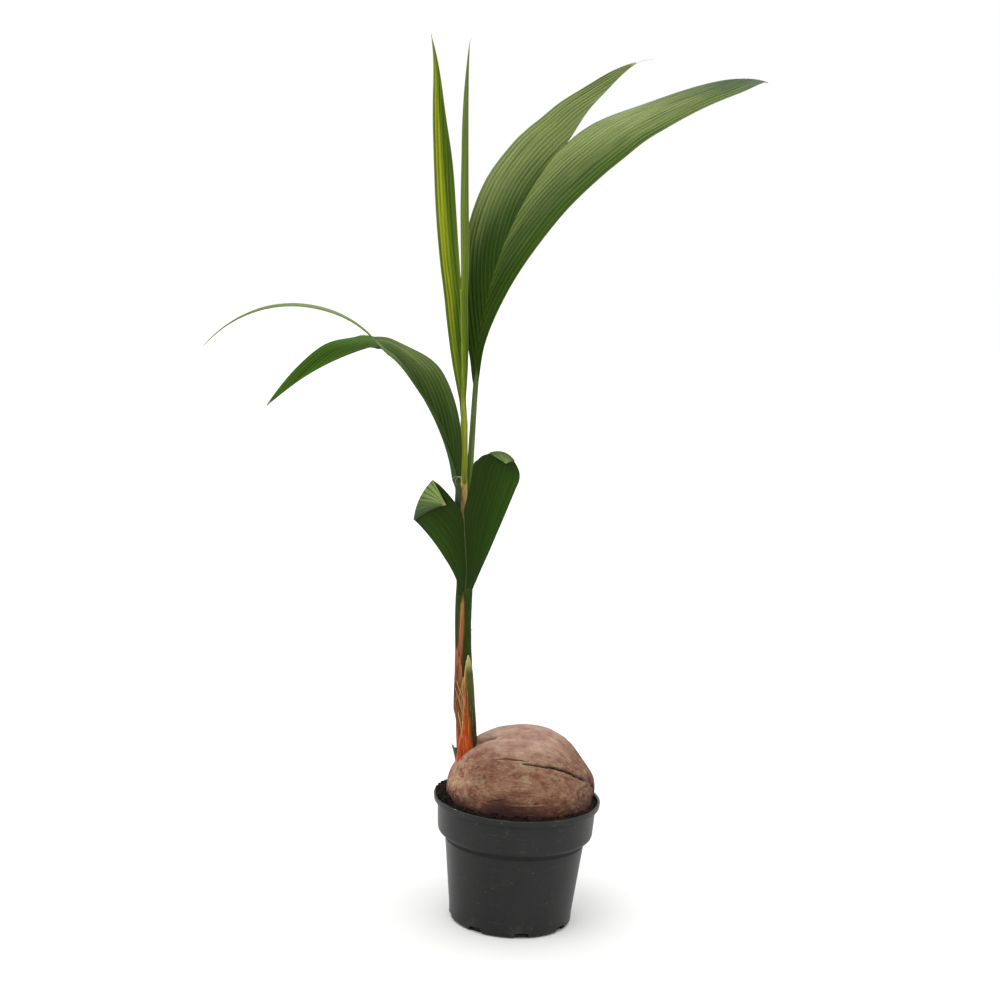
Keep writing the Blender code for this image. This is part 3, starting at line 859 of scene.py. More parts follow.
# Layers wrapped round the stem, from their lowest knot up: (share of the stem's height,
# bearings where the layer starts and ends, and how far out it stands at its start, midway and
# at its end, in millimetres). At the back its top edge stands higher, and its lower edge lower,
# by slant.
Layer = namedtuple("Layer", "name nodes slot knots ragged slant seed")
SHEATH = Layer("leaf_sheath", (), "sheath", (
    (0.240, 268, 500, 0.4, 0.8, 0.6), (0.300, 264, 505, 0.4, 0.8, 0.6),
    (0.330, 263, 516, 0.4, 0.8, 0.6), (0.369, 266, 540, 0.4, 0.8, 0.5),
    (0.410, 269, 584, 0.4, 0.8, 0.5), (0.451, 275, 592, 0.4, 1, 0.6),
    (0.500, 277, 602, 0.4, 1.2, 0.6), (0.545, 274, 611, 0.4, 1.6, 0.6),
    (0.573, 266, 619, 0.6, 1.4, 0.6), (0.584, 262, 622, 0.6, 1.2, 0.6),
    (0.625, 262, 622, 0.4, 0.8, 0.4)), 2.0, 0.045, 3)
FIBRE_SHEATH = Layer("fibre_sheath", (), "sheath", (
    (0.075, 238, 246, 1, 1.2, 0.6), (0.110, 230, 252, 1, 1.2, 0.5),
    (0.145, 214, 254, 1, 1.2, 0.5), (0.172, 196, 260, 1.2, 1.4, 0.6),
    (0.190, 158, 266, 2.1, 2, 0.8), (0.222, 146, 272, 1.9, 1.8, 0.8),
    (0.256, 142, 266, 1.6, 1.6, 0.8), (0.300, 142, 263, 1.3, 1.3, 0.7),
    (0.345, 146, 256, 0.9, 0.9, 0.5), (0.385, 158, 236, 0.5, 0.6, 0.3),
    (0.425, 176, 204, 0.2, 0.3, 0.1)), 5.0, 0.0, 8)
CATAPHYLL = Layer("right_bract_scale", ("right_bract",), "bract", (
    (0.005, 214, 416, 2.6, 5.6, 10), (0.040, 224, 413, 2, 3.6, 5.6),
    (0.090, 240, 410, 1.4, 1.8, 2.2), (0.122, 252, 406, 1.6, 1.8, 2),
    (0.163, 261, 400, 1.5, 1.6, 1.7), (0.205, 268, 391, 1.4, 1.5, 1.5),
    (0.246, 274, 380, 1.3, 1.4, 1.4), (0.287, 277, 364, 1.3, 1.4, 1.3),
    (0.329, 285, 342, 1.4, 1.5, 1.3), (0.356, 296, 320, 1.6, 1.7, 1.5),
    (0.377, 304, 305, 1.8, 1.8, 1.8)), 1.2, 0.0, 5)
# Where the scale turns from orange to green: the bearing at its foot, and how much less it
# is at the height of the stem's fork.
GREEN_FROM = 314.0
GREEN_LEAN = 95.0
LAYER_ROWS = 150
LAYER_COLUMNS = 64


def build_layer(layer, finish):
    """A layer of sheath or scale, open along one side, with torn edges."""
    cells = []
    for v in shares(LAYER_ROWS):
        height, start, end, low, middle, high = (smooth(values, v) for values in zip(*layer.knots))
        tear = Vector((layer.seed, 0.0, height * 0.35))
        start += layer.ragged * rough(tear, 0.006, 3)
        end += layer.ragged * rough(tear + UP, 0.006, 3)
        turning = GREEN_FROM - GREEN_LEAN * height
        row = []
        for u in shares(LAYER_COLUMNS):
            bearing = start + (end - start) * u
            grain = Vector((bearing * 0.0002, layer.seed, 0.0))
            out = (low * (1 - u) ** 2 + 2 * middle * u * (1 - u) + high * u ** 2) * MM
            out += 0.00020 * rough(grain + UP * (height * 0.05), 0.0018, 3)
            torn = layer.ragged * 0.0012 * rough(grain, 0.004, 3)
            torn *= 1.0 - blend(0.0, 0.12, v) + blend(0.88, 1.0, v)
            behind = layer.slant * blend(-0.3, 1.0, round_about(bearing).y)
            torn += behind * (blend(0.6, 1.0, v) - blend(0.4, 0.0, v))
            edge = blend(7.0, 0.0, min(bearing - start, end - bearing))
            green = blend(turning - 16.0, turning + 12.0, bearing)
            row.append((on_stem(height + torn, bearing, out), (bearing / 360.0, height), edge, green))
        cells.append(row)
    rows, places, edges, greens = unzip(cells)
    skin = Skin().patch(rows, marks={"edge": edges, "green": greens}, skin=places)
    skin.piece(layer.name, [finish] * 2, layer.nodes, layer.slot, SHEET_THICKNESS)


def green_sheath_finish():
    finish = Finish("green_sheath", 0.50, 0.07)
    height = finish.uv().split()[1]
    colour = finish.mix(height.step(0.30, 0.60), (31, 43, 5), (31, 49, 3))
    colour, fibres = bark_colours(finish, colour, (20, 30, 8), (76, 90, 36), 0.55)
    # Along its open edges it is reddish brown; low down it is darker, which is painted shade in the gap
    # beside the fibre sheath.
    edge = finish.mix(height.step(0.36, 0.50), (58, 26, 14), (104, 70, 38))
    return finish.done(finish.coats(colour, (finish.mark("edge") * 0.85, edge)), None, fibres, 0.0004)


def fibre_sheath_finish():
    finish = Finish("fibre_sheath", 0.85, 0.15)
    colour = finish.mix(finish.uv().split()[1].step(0.24, 0.36), (100, 62, 32), (140, 82, 56))
    colour = finish.coats(colour, (finish.noise((9.0, 22.0), 4.0, 0.6), 0.45, 0.62, 0.8, (66, 36, 20)))
    colour, fibres = bark_colours(finish, colour, (46, 20, 10), (186, 142, 88), 0.9)
    return finish.done(colour, None, fibres, 0.0010)


def cataphyll_finish():
    finish = Finish("scale", 0.55, 0.10)
    height = finish.uv().split()[1]
    streaks = finish.noise((22.0, 7.0), 3.0)
    warm = finish.coats(
        finish.mix(height.step(0.05, 0.24), (148, 54, 16), (106, 40, 16)),
        (streaks, 0.52, 0.64, 0.70, (170, 112, 34)),
        (streaks, 0.46, 0.34, 0.75, (84, 30, 16)),
        (height, 0.27, 0.33, 1.0, (150, 112, 52)),
    )
    cool = finish.mix(height.step(0.10, 0.30), (22, 34, 8), (54, 66, 20))
    cool = finish.coats(cool, (height, 0.31, 0.36, 1.0, (136, 144, 84)))
    colour = finish.mix(finish.mark("green"), warm, cool)
    colour, fibres = bark_colours(finish, colour, (70, 36, 18), (214, 150, 96), 0.35)
    colour = finish.coats(colour, (finish.mark("edge") * 0.35, (206, 168, 112)))
    return finish.done(colour, None, fibres, 0.0005)


def scrap_finish():
    finish = Finish("scrap", 0.55, 0.25)
    colour, fibres = bark_colours(finish, (42, 58, 28), (18, 24, 12), (120, 128, 88), 0.5)
    return finish.done(colour, None, fibres, 0.0004)


def build_scrap():
    """The torn stub of an old scale that stands off the left of the stem's foot."""
    def place(v, u):
        stand = 0.0008 + (0.0036 * (1.0 - u) ** 0.8 + 0.0008) * v ** 1.2
        torn = 0.006 * rough(Vector((u * 0.02, 0.3, 0.0)), 0.006, 3)
        return on_stem(-0.010 + (0.062 + 0.006 * (1.0 - u) + torn) * v, 176.0 + 38.0 * u, stand)

    vs = shares(24)
    places = spread(vs, 16, lambda v, u: (0.6 + 0.1 * u, 0.006 + 0.06 * v))
    skin = Skin().patch(spread(vs, 16, place), skin=places)
    skin.piece("left_bract_scrap", [scrap_finish()] * 2, ["left_bract"], "bract", SHEET_THICKNESS)


# Loose fibres: knots of (share of the stem's height, bearing, millimetres out), and the radius.
FIBRES = (
    (((0.376, 300, 2), (0.33, 281, 2.4), (0.27, 272, 2.2), (0.20, 266, 2.2), (0.13, 258, 1.6)), 0.42),
    (((0.360, 290, 2), (0.31, 276, 3), (0.25, 262, 3), (0.18, 259, 2.2), (0.10, 255, 1.2)), 0.36),
    (((0.300, 268, 1.6), (0.26, 256, 2.6), (0.23, 243, 2.8), (0.20, 250, 2.6), (0.17, 262, 1.6)), 0.3),
    (((0.285, 226, 1.8), (0.26, 244, 2.8), (0.235, 262, 2.6), (0.215, 272, 2)), 0.28),
    (((0.260, 216, 2.2), (0.235, 236, 3), (0.215, 250, 2.8), (0.18, 255, 1.8)), 0.26),
    (((0.180, 232, 1.2), (0.14, 246, 1.8), (0.09, 252, 1.6), (0.045, 249, 1.2)), 0.34),
    (((0.150, 262, 2), (0.11, 256, 1.8), (0.07, 258, 1.6), (0.03, 262, 2)), 0.28),
    (((0.215, 182, 1.8), (0.190, 186, 2.2), (0.165, 196, 1.8), (0.12, 205, 1.4)), 0.28),
    (((0.455, 360, 0.6), (0.462, 352, 2.8), (0.461, 350, 5.2), (0.459, 350, 7.8)), 0.36),
    (((0.560, 250, 0.6), (0.52, 256, 1.2), (0.47, 252, 1), (0.43, 246, 0.6)), 0.24),
)


def fibre_finish(name, dark, pale):
    finish = Finish(name, 0.7, 0.2)
    grain = finish.noise(900.0, 3.0)
    return finish.done(finish.mix(grain, dark, pale), None, grain, 0.0002)


def build_fibres(finish):
    skin = Skin()
    for knots, radius in FIBRES:
        places = [[smooth(values, u) for values in zip(*knots)] for u in shares(16)]
        strand(skin, [on_stem(u, bearing, out * MM) for u, bearing, out in places], radius * MM, 0.35)
    skin.piece("loose_fibres", [finish], (), "sheath")


def build_threads(finish):
    """Threads that curl off the left petiole."""
    skin = Skin()
    for bend in (0.0, 1.0):
        centre = Vector((-0.0880 + 0.003 * bend, -0.0205, 0.5015 + 0.002 * bend))
        reach = 0.0075 - 0.0018 * bend
        points = []
        for v in shares(18):
            turn = math.radians(20.0 + 190.0 * v + 30.0 * bend)
            points.append(centre + Vector((math.cos(turn) * reach * 0.8, 0.003 * v, math.sin(turn) * reach)))
        strand(skin, points, 0.00018, 0.4)
    skin.piece("petiole_threads", [finish], (), "sheath")


# ---------------------------------------------------------------- lower leaf

# Lowest leaf, split in two lobes above its foot, which clasps the front of the stem. The curves are in its
# own plane, (across, up) from the foot in millimetres: the inner and outer margins up to the fold, how far
# the middle of the fold bows out, and the tip, folded down in front. Light, which is painted light and sheen,
# and warm are as in the fronds below.
LEAF_FOOT_X = -0.0711
LEAF_FOOT_Z = 0.3788
LEAF_START = 0.004
LEAF_AXIS = -0.0038
LEAF_CLASP = 0.0012
LEAF_LEAN = 0.10
LEAF_UNROLL = 1.2
LeafHalf = namedtuple("LeafHalf", "name side inner outer bow tip sag pleats light warm")
LOWER_LEAF = (
    LeafHalf("left", 1,
             ((-1, -4), (-1.4, 30), (-4.4, 60), (-6.6, 78), (-10, 90.3),
              (-16.5, 99.5), (-25, 109), (-34.5, 118), (-43.1, 123.6)),
             ((-9.6, -4), (-10.5, 8.5), (-13.6, 16.6), (-19.6, 27.1), (-26.9, 37.3),
              (-35.6, 48.8), (-44.3, 58.7), (-53, 67.3), (-62.3, 74.9)),
             (-4, 1.2), (-27.1, 97.8), 0.0030, 8,
             ((10, 20), (10, 30), (0, 30), (0, 40), (0, 30), (25, 0), (85, 15)),
             ((0, 0), (0, 0), (0, 0), (0, 0), (0, 0), (55, 0), (85, 5))),
    LeafHalf("right", -1,
             ((-1, -4), (-0.9, 24.5), (-3.2, 47.4), (-5.5, 70.2), (-7.4, 90.4),
              (-4.9, 105.6), (-1.8, 122.1), (0.3, 144.5), (4.6, 150.2), (9.6, 155.1),
              (17.4, 158.4)),
             ((5.2, -4), (15, 24.6), (22.4, 44.4), (29.3, 64.1), (36.2, 83.6),
              (41.9, 100.3), (48.1, 118.3), (51.5, 128), (51.7, 136.3), (49.3, 143.1),
              (44.9, 150.5)),
             (1.4, 5), (35.8, 148.2), 0.0004, 11,
             ((10, 20), (0, 40), (0, 40), (0, 50), (0, 30), (0, 10), (80, 50)),
             ((0, 0), (0, 0), (0, 0), (0, 0), (0, 0), (20, 20), (90, 70))),
)
LEAF_ROWS = 90
LEAF_COLUMNS = 66
FOLD_RADIUS = 0.0009
FOLD_STEPS = 7
FLAP_ROWS = 30
FLAP_LIFT = 0.0030
FLAP_SWELL = 0.0012


def leaf_point(flat, out=0.0):
    """Stand a point of the lower leaf's own plane in front of the stem, wrapped round it."""
    wide, up = flat
    clasp = smooth(STEM_RADII, stem_share(LEAF_FOOT_Z)) + LEAF_CLASP
    wrap = clasp + LEAF_UNROLL * max(up - LEAF_START, 0.0)
    off_axis = min(abs(wide - LEAF_AXIS), wrap * 0.95)
    front = STEM_FOOT.y - clasp - LEAF_LEAN * (up - LEAF_START)
    back = wrap - math.sqrt(wrap ** 2 - off_axis ** 2)
    return Vector((LEAF_FOOT_X + wide, front + back - out, LEAF_FOOT_Z + up))


def lower_leaf_rows(half):
    """Rows of points up one lobe, round its fold, and down its folded tip to the point, and how
    far along the leaf each row is."""
    inner, outer = [[Vector(flat) * MM for flat in margin] for margin in (half.inner, half.outer)]
    bow, tip = Vector(half.bow) * MM, Vector(half.tip) * MM
    across = shares(LEAF_COLUMNS)
    bows = [bow * (4.0 * u * (1.0 - u)) for u in across]
    rows, vs = [], []
    for t in shares(LEAF_ROWS):
        low, high, arch = smooth(inner, t), smooth(outer, t), blend(0.45, 1.0, t)
        rows.append([leaf_point(low.lerp(high, u) + bulge * arch) for u, bulge in zip(across, bows)])
        vs.append(0.8 * t)
    fold = [inner[-1].lerp(outer[-1], u) + bulge for u, bulge in zip(across, bows)]
    for t in shares(FOLD_STEPS)[1:]:
        beyond = bow.normalized() * (FOLD_RADIUS * math.sin(math.pi * t))
        out = FOLD_RADIUS * (1.0 - math.cos(math.pi * t))
        rows.append([leaf_point(flat + beyond, out) for flat in fold])
        vs.append(0.8 + 0.02 * t)
    for t in shares(FLAP_ROWS)[1:]:
        v = 0.985 * t
        row = []
        for u, flat in zip(across, fold):
            sag = Vector((0.0, half.sag * 4.0 * v * (1.0 - v) * u))
            swell = math.sin(math.pi * v) * math.sin(math.pi * u)
            lift = FOLD_RADIUS * 2.0 + FLAP_LIFT * v ** 2 + FLAP_SWELL * swell
            row.append(leaf_point(flat.lerp(tip, v) + sag, lift))
        rows.append(row)
        vs.append(0.82 + 0.18 * t)
    return rows, vs


def build_lower_leaf(finishes, rib_finish):
    for half in LOWER_LEAF:
        def relief(v, u):
            wide = blend(0.0, 0.35, v) * (blend(0.80, 0.66, v) + 0.5 * blend(0.80, 0.86, v))
            fold = math.cos(math.tau * half.pleats * u + 1.5 * rough(Vector((u, v, 0.0)), 0.4, 2))
            return 0.00034 * wide * blend(1.0, 0.95, v) * fold * blend(0.0, 0.06, u)

        rows, vs = lower_leaf_rows(half)
        rows = relieved(rows, vs, half.side, relief)
        name = f"lower_leaf_{half.name}"
        leaf_piece(name + "_lobe", half, finishes, [name, name + "_tip"], rows, vs,
                   lambda v, u: (half.pleats * u, v * 1.6))
    inner = [Vector(flat) * MM for flat in LOWER_LEAF[1].inner[:5]]
    skin = Skin()
    strand(skin, [leaf_point(smooth(inner, u), 0.0001) for u in shares(40)], 0.00085, 0.5, 10)
    skin.piece("lower_leaf_midrib", [rib_finish], (), "stalk")


# ---------------------------------------------------------------- fronds

# A leg is a run of a rib or of a lobe's inner margin. Rise and heading are in degrees:
# rise from the level, heading from +X towards +Y, each given at equal steps.
Leg = namedtuple("Leg", "length rise heading")
# A half blade lies on one side of the rib. Its lobe leg runs on from the end of the rib.
# Roll lifts it from the level, and width is in millimetres, both at equal steps. Veins are counted at the
# widest place, pleat is half the depth of a fold, arch is how far the blade bulges as a share of its width,
# and hair is the length of the thread at its tip. Light says in percent how much painted light and sheen
# turns it pale, and warm how yellow it is: rows from foot to tip, each from rib to margin.
Half = namedtuple("Half", "name side lobe roll width veins pleat arch hair light warm")
# Base is how much wider the stalk is at its foot, and groove how deep its channel is. Sink is
# how far the rib lies below the blade, as a share of its radius, and taper how soon it thins.
Frond = namedtuple("Frond", "name bearing hugging stalk foot rib radii base groove sink taper halves")
NOT_WARM = ((0.0, 0.0), (0.0, 0.0))
RIGHT_FROND = Frond(
    name="right_frond",
    bearing=35.0,
    hugging=(0.470, 0.500),
    stalk=(Vector((-0.0744, 0.0120, 0.5640)),),
    foot=Vector((-0.0740, 0.0185, 0.6067)),
    rib=Leg(0.3035, (90.6, 74.8, 57.9, 40.2), (66, 45.4, 46.2, 48.8)),
    radii=(0.0031, 0.0014),
    base=0.50,
    groove=0.25,
    sink=0.85,
    taper=1.0,
    halves=(
        Half("far", 1, Leg(0.1575, (39.5, 52.5, 43.4, 41, 30), (49, 46, 38.4, 42, 43)),
             (34, 32, 31, 29, 32, 37),
             (0.6, 11.6, 22.7, 34.8, 45.3, 51.4, 54.5, 53.1, 49.9, 39.9, 26.5, 14.8, 2),
             12, 0.0006, 0.05, 0.030,
             ((0, 0, 0), (0, 0, 2), (0, 14, 40), (10, 55, 85), (45, 75, 90), (70, 75, 75), (50, 50, 50)),
             ((20, 0, 10), (5, 0, 0), (0, 0, 0), (0, 0, 0))),
        Half("near", -1, Leg(0.3605, (39.5, 20.5, 20, 12.4, -4), (49, 41.2, 34.2, 41.8, 46)),
             (-3, -13, -17, -16, -12, -11),
             (0.6, 10.2, 26.1, 41.8, 55.1, 67.8, 75.8, 75.6, 71.3, 66.7, 56.5, 34.7, 3),
             15, 0.0006, 0.05, 0.006,
             ((0, 0, 0), (20, 5, 0), (60, 30, 5), (90, 65, 15), (70, 70, 40), (12, 22, 30), (0, 0, 5)),
             ((30, 10, 15), (15, 0, 25), (5, 0, 20), (0, 0, 0))),
    ),
)
LEFT_FROND = Frond(
    name="left_frond",
    bearing=222.0,
    hugging=(0.430, 0.462),
    stalk=(),
    foot=Vector((-0.0856, -0.0125, 0.4930)),
    rib=Leg(0.190, (84, 71, 62.5, 54.8, 47, 22), (209, 183, 192)),
    radii=(0.0040, 0.0012),
    base=0.15,
    groove=0.15,
    sink=0.85,
    taper=1.0,
    halves=(
        Half("far", -1, Leg(0.138, (-17, -24, -31, -39, -43), (194, 193, 191)),
             (53, 60, 65.5, 62, 24, 16.5, 38, 52.5, 61), (0.8, 18, 30, 38.5, 36.2, 17.2, 1),
             9, 0.0005, 0.04, 0.005,
             ((5, 5, 10), (10, 10, 15), (15, 25, 40), (20, 45, 60), (5, 10, 10), (0, 0, 0), (10, 10, 10)),
             ((0, 0, 0), (0, 0, 0), (0, 0, 0), (0, 0, 0), (80, 70, 90), (90, 60, 100), (60, 60, 60))),
        Half("near", 1, Leg(0.215, (52, 22, -3, -29, -52), (197, 191, 187)),
             (-14, -11, -8, -5, -4, -7), (0.8, 10.8, 22, 30.6, 27.8, 16.7, 1), 7, 0.0004, 0.02, 0.004,
             ((5, 5), (10, 10), (20, 20), (60, 60), (100, 100), (90, 90), (60, 60)),
             NOT_WARM),
    ),
)
SPEAR = Frond(
    name="spear",
    bearing=0.0,
    hugging=(),
    stalk=(stem_point(0.925), STEM_FORK + Vector((0.0003, 0.0, 0.0))),
    foot=Vector((-0.0839, 0.0040, 0.5660)),
    rib=Leg(0.1476, (94.5, 94.5, 94.5), (0, 0)),
    radii=(0.0046, 0.0016),
    base=-0.15,
    groove=0.0,
    sink=0.0,
    taper=4.0,
    halves=(
        Half("left", 1, Leg(0.274, (97, 97, 97, 102, 101, 110), (0, 0)),
             (60, 61, 60), (0.8, 14.6, 22.1, 25.2, 23.7, 13.7, 0), 6, 0.0009, 0.04, 0.004,
             ((0, 0, 0), (10, 10, 20), (20, 10, 40), (20, 10, 50), (20, 20, 40)),
             ((90, 60, 30, 20, 20, 20), (80, 10, 10, 50, 40, 10), (40, 10, 30, 90, 80, 20),
              (10, 10, 30, 100, 100, 10), (10, 10, 40, 90, 80, 30), (40, 40, 50, 70, 70, 60))),
        Half("right", -1, Leg(0.266, (93, 94, 92, 92, 88.5, 85), (0, 0)),
             (-42, -42, -41), (0.8, 10.5, 12.2, 14.3, 12.2, 9, 0), 4, 0.0006, 0.03, 0.004,
             ((0, 0), (10, 20), (40, 30), (60, 40), (60, 50), (70, 60)),
             ((80, 20), (50, 0), (30, 10), (10, 10), (0, 0), (0, 0))),
    ),
)
FRONDS = (RIGHT_FROND, LEFT_FROND, SPEAR)
# Their blades' colours: deep, pale (the colour of the painted light and sheen), warm and vein.
BLADE_TONES = (
    ((28, 54, 0), (108, 120, 70), (84, 110, 12), (146, 160, 84)),
    ((30, 54, 4), (104, 116, 66), (60, 96, 4), (120, 138, 72)),
    ((46, 76, 6), (104, 120, 66), (140, 152, 28), (156, 168, 66)),
)
# Their stalks' colours, at the foot, at the tip and in patches, and the shares of the stalk
# between which the first turns into the second.
STALK_TONES = (
    ("right_stalk", (92, 118, 18), (78, 94, 48), (52, 66, 30), (0.16, 0.34)),
    ("left_stalk", (32, 50, 14), (54, 76, 26), (44, 62, 22)),
    ("spear_stalk", (122, 132, 26), (118, 136, 30), (92, 108, 20)),
)
HAIR_RADIUS = 0.00035
HAIR_DROOP = 26.0
HAIR_ROOT = 0.003
HAIR_STEPS = 8
# How far below its lowest knot a stalk starts, inside the stem.
STALK_ROOT = 0.030
BLADE_STEP = 0.0022
BLADE_COLUMNS = 72
NARROWEST = 0.0003
INNER_OVERLAP = 0.0006
NEAR_LIFT = 0.0006
# How far the bend where a lobe leaves its rib is eased.
BEND_REACH = 0.022
RIB_STEPS = 60
STALK_SIDES = 28
KNOT_STEPS = 12
STALK_KEEL = 0.10
STALK_FLATNESS = 0.92
# A place on a rib or a lobe, and the way it runs there, in degrees.
Place = namedtuple("Place", "point rise heading")


def walk(start, leg, steps=None):
    """Places along a leg."""
    steps = steps or round(leg.length / BLADE_STEP)
    point = start.copy()
    places = []
    for i in range(steps + 1):
        if i:
            middle = (i - 0.5) / steps
            point += pointing(smooth(leg.rise, middle), smooth(leg.heading, middle)) * (leg.length / steps)
        places.append(Place(point.copy(), smooth(leg.rise, i / steps), smooth(leg.heading, i / steps)))
    return places


def above(place):
    """The upper normal of a rib or a blade at a place."""
    return pointing(place.rise, place.heading).cross(round_about(place.heading + 90.0))


def across(place, side, roll):
    """The way from the rib to the margin of a half blade."""
    level = round_about(place.heading + 90.0)
    return level * (side * math.cos(math.radians(roll))) + above(place) * math.sin(math.radians(roll))


def soften(rows, centre, reach):
    """Rounds off a bend in rows of points: each is averaged with its neighbours, most at the centre."""
    eased = list(rows)
    for i in range(max(1, centre - reach), min(len(rows) - 1, centre + reach + 1)):
        window = min(reach - abs(i - centre), i, len(rows) - 1 - i)
        if window > 0:
            near = rows[i - window:i + window + 1]
            eased[i] = [sum(column, Vector()) / len(near) for column in zip(*near)]
    return eased


def half_blade(frond, half, finishes):
    """One half of a blade with its lobe, pleated along its veins."""
    rib = walk(frond.foot, frond.rib)
    lobe = walk(rib[-1].point, half.lobe)
    whole = frond.rib.length + half.lobe.length
    share = frond.rib.length / whole
    vs = [share * t for t in shares(len(rib) - 1)[:-1]]
    vs += [share + (1.0 - share) * t for t in shares(len(lobe) - 1)]
    thick, thin = frond.radii

    def width_at(v):
        return max(smooth(half.width, v) * MM, NARROWEST)

    def veins_at(v):
        return half.veins * (width_at(v) / max(half.width) / MM) ** (1.0 if v < share else 0.7)

    def relief(v, u):
        fold = math.cos(math.tau * (1.0 - u) * veins_at(v))
        fold = fold * (1.0 - 0.25 * fold)
        depth = half.pleat * blend(0.0, 0.020, width_at(v)) * blend(1.0, 0.90, v)
        # Folds run out at the inner edge, which stays even.
        depth *= blend(0.0, 0.05 + 0.20 * blend(share - 0.05, share + 0.02, v), u)
        return fold * depth + half.arch * width_at(v) * math.sin(math.pi * u)

    rows = []
    for place, v in zip(rib[:-1] + lobe, vs):
        way = across(place, half.side, smooth(half.roll, v))
        # The halves close over the rib soon above the blade's foot, the near one on top.
        closed = blend(0.0, 0.07, v)
        radius = thick + (thin - thick) * min(v / share, 1.0)
        lap = INNER_OVERLAP * closed * blend(share + 0.05, share - 0.02, v)
        inner = place.point + way * (radius * 0.6 * (1.0 - closed) - lap)
        if half.side < 0:
            inner += above(place) * (NEAR_LIFT * closed * blend(share + 0.03, share, v))
        rows.append([inner + way * (width_at(v) * u) for u in shares(BLADE_COLUMNS)])
    rows = soften(rows, len(rib) - 1, round(BEND_REACH / BLADE_STEP))
    rows = relieved(rows, vs, half.side, relief)
    name = f"{frond.name}_{half.name}"
    leaf_piece(name + "_leaf", half, finishes, [name + "_blade", name + "_lobe"], rows, vs,
               lambda v, u: ((1.0 - u) * veins_at(v), v * whole * 10.0))


def tip_hairs(finish):
    """The thread that each lobe of a frond runs out in."""
    skin = Skin()
    for frond in FRONDS:
        rib_end = walk(frond.foot, frond.rib)[-1].point
        for half in frond.halves:
            point, rise, heading = walk(rib_end, half.lobe)[-1]
            points = [point - pointing(rise, heading) * HAIR_ROOT]
            for _ in range(HAIR_STEPS):
                rise -= HAIR_DROOP / HAIR_STEPS
                points.append(points[-1] + pointing(rise, heading) * ((half.hair + HAIR_ROOT) / HAIR_STEPS))
            strand(skin, points, HAIR_RADIUS, 0.4)
    skin.piece("tip_hairs", [finish], (), "blade")


def hug(height, bearing, radius):
    """A place at a height beside the stem, for a stalk of this radius on this bearing."""
    return on_stem(stem_share(height), bearing, radius)


def frond_stalk(frond, finish):
    """The petiole and the rib, grooved above and keeled below."""
    thick, thin = frond.radii
    rib = walk(frond.foot, frond.rib, RIB_STEPS)
    knots = [hug(height, frond.bearing, thick) for height in frond.hugging] + [*frond.stalk, frond.foot]
    if frond.hugging:
        # It grows out of the stem from inside it.
        knots.insert(0, hug(frond.hugging[0] - STALK_ROOT, frond.bearing, -thick))
    steps = KNOT_STEPS * (len(knots) - 1)
    points, radii = [], []
    for t in shares(steps)[:-1]:
        points.append(smooth(knots, t))
        radii.append(thick * (1.0 + frond.base * blend(1.0, 0.0, t)) * (0.55 + 0.45 * blend(0.0, 0.25, t)))
    for t, place in zip(shares(RIB_STEPS), rib):
        # The rib lies below the blade that closes over it.
        sunk = blend(0.0, 5.0, RIB_STEPS * t) * frond.sink * (thick + (thin - thick) * t + 0.0003)
        points.append(place.point - above(place) * sunk)
        radii.append(thin + (thick - thin) * (1.0 - t) ** frond.taper)
    rows = []
    for i, (point, radius) in enumerate(zip(points, radii)):
        ahead = ahead_at(points, i)
        level = round_about(rib[max(i - steps, 0)].heading + 90.0)
        level = (level - ahead * level.dot(ahead)).normalized()
        upper = ahead.cross(level)
        row = []
        for turn in ring(STALK_SIDES):
            x, z = math.cos(turn), math.sin(turn)
            depth, width = (frond.groove, 0.35) if z > 0.0 else (-STALK_KEEL, 0.40)
            z = z * STALK_FLATNESS - depth * math.exp(-(x / width) ** 2)
            row.append(point + (level * x + upper * z) * radius)
        rows.append(row)
    skin = Skin().patch(rows, wrap=True, caps=True)
    skin.piece(frond.name + "_midrib", [finish], [frond.name + "_stalk"], "stalk")


# ---------------------------------------------------------------- stage

LOW_LIGHT = 1.0
TOP_LIGHT = 2.2
FLOOR_REACH = (-14.0, 0.0, 14.0)


def build_stage():
    rows = [[Vector((x, y, 0.0)) for x in FLOOR_REACH] for y in FLOOR_REACH]
    finish = Finish("studio_floor", 0.9, 0.1)
    colour = finish.mix(finish.noise(3.0, 2.0), (196, 196, 195), (198, 198, 197))
    Skin().patch(rows).mesh("studio_floor", [finish.done(colour)])


def build_lights():
    """A soft studio: a pale surround that is brighter overhead, and a wide soft key light."""
    world = bpy.data.worlds.new("studio")
    world.use_nodes = True
    height = node(world.node_tree, "TexCoord", output="Generated").split()[2]
    background = world.node_tree.nodes["Background"].inputs
    background["Color"].default_value = (1.0, 1.0, 1.0, 1.0)
    link(world.node_tree, height.step(0.15, 0.85, LOW_LIGHT, TOP_LIGHT), background["Strength"])
    bpy.context.scene.world = world
    data = bpy.data.lights.new("key", "SUN")
    data.energy = 1.1
    data.angle = math.radians(40.0)
    lamp = bpy.data.objects.new("key", data)
    lamp.rotation_mode = "QUATERNION"
    lamp.rotation_quaternion = Vector((-0.45, -0.65, 1.25)).to_track_quat("Z", "Y")
    bpy.context.scene.collection.objects.link(lamp)


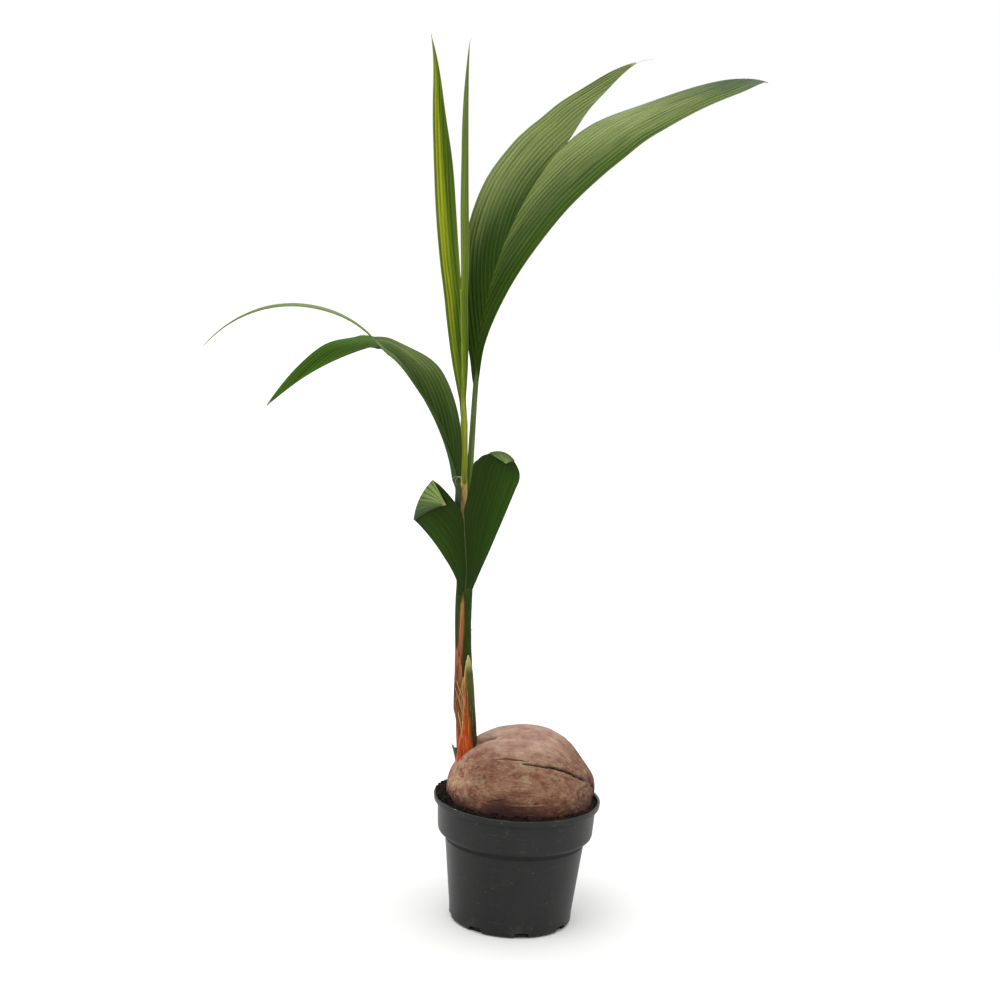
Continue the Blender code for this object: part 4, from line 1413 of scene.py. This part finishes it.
def build_camera():
    pitch, roll = math.radians(CAMERA_PITCH), math.radians(CAMERA_ROLL)
    ahead = Vector((0.0, math.cos(pitch), -math.sin(pitch)))
    upright = Vector((0.0, math.sin(pitch), math.cos(pitch)))
    level = Vector((1.0, 0.0, 0.0))
    right = level * math.cos(roll) + upright * math.sin(roll)
    higher = upright * math.cos(roll) - level * math.sin(roll)
    data = bpy.data.cameras.new("camera")
    data.lens = CAMERA_LENS
    data.sensor_width = CAMERA_SENSOR
    camera = bpy.data.objects.new("camera", data)
    turned = Matrix((right, higher, -ahead)).transposed()
    camera.matrix_world = Matrix.Translation(CAMERA_PLACE) @ turned.to_4x4()
    bpy.context.scene.collection.objects.link(camera)
    bpy.context.scene.camera = camera


def main():
    bpy.context.scene.view_settings.view_transform = "Standard"
    build_camera()
    build_lights()
    build_stage()
    build_pot()
    build_husk()
    black_soil = soil_finish("soil", (12, 8, 6), (26, 17, 12), (66, 46, 34), 0.45)
    brown_soil = soil_finish("soil_bark", (26, 16, 11), (44, 28, 19), (74, 52, 38), 0.4)
    build_soil(black_soil)
    build_crumbs([black_soil, brown_soil])
    build_coir(fibre_finish("coir", (54, 34, 22), (98, 68, 44)))
    build_stem()
    build_layer(SHEATH, green_sheath_finish())
    build_layer(FIBRE_SHEATH, fibre_sheath_finish())
    build_layer(CATAPHYLL, cataphyll_finish())
    build_scrap()
    build_fibres(fibre_finish("dry_fibre", (164, 118, 66), (216, 178, 122)))
    build_threads(fibre_finish("pale_thread", (140, 152, 96), (196, 202, 156)))
    lower = leaf_finish("lower_blade", (26, 44, 2), (48, 82, 6), (66, 92, 22), (78, 106, 34),
                        0.40, furrow_shade=0.10, dry=0.99)
    # The back face, seen on the folded tips, is paler: partly the leaf's other face, partly painted light
    # from above.
    flap = leaf_finish("lower_blade_back", (50, 66, 42), (104, 124, 76), (150, 172, 92), (156, 172, 122),
                       0.50, furrow_shade=0.6, dry=0.97)
    build_lower_leaf([lower, flap], stalk_finish("lower_rib", (46, 62, 20), (78, 82, 46), (34, 50, 14)))
    tip_hairs(fibre_finish("tip_hair", (150, 138, 104), (196, 186, 152)))
    for frond, blade_tones, stalk_tones in zip(FRONDS, BLADE_TONES, STALK_TONES):
        frond_stalk(frond, stalk_finish(*stalk_tones))
        upper = leaf_finish(frond.name + "_upper", *blade_tones, line=0.80)
        under = leaf_finish(frond.name + "_under", *blade_tones, roughness=0.55)
        for half in frond.halves:
            half_blade(frond, half, [upper, under])


main()
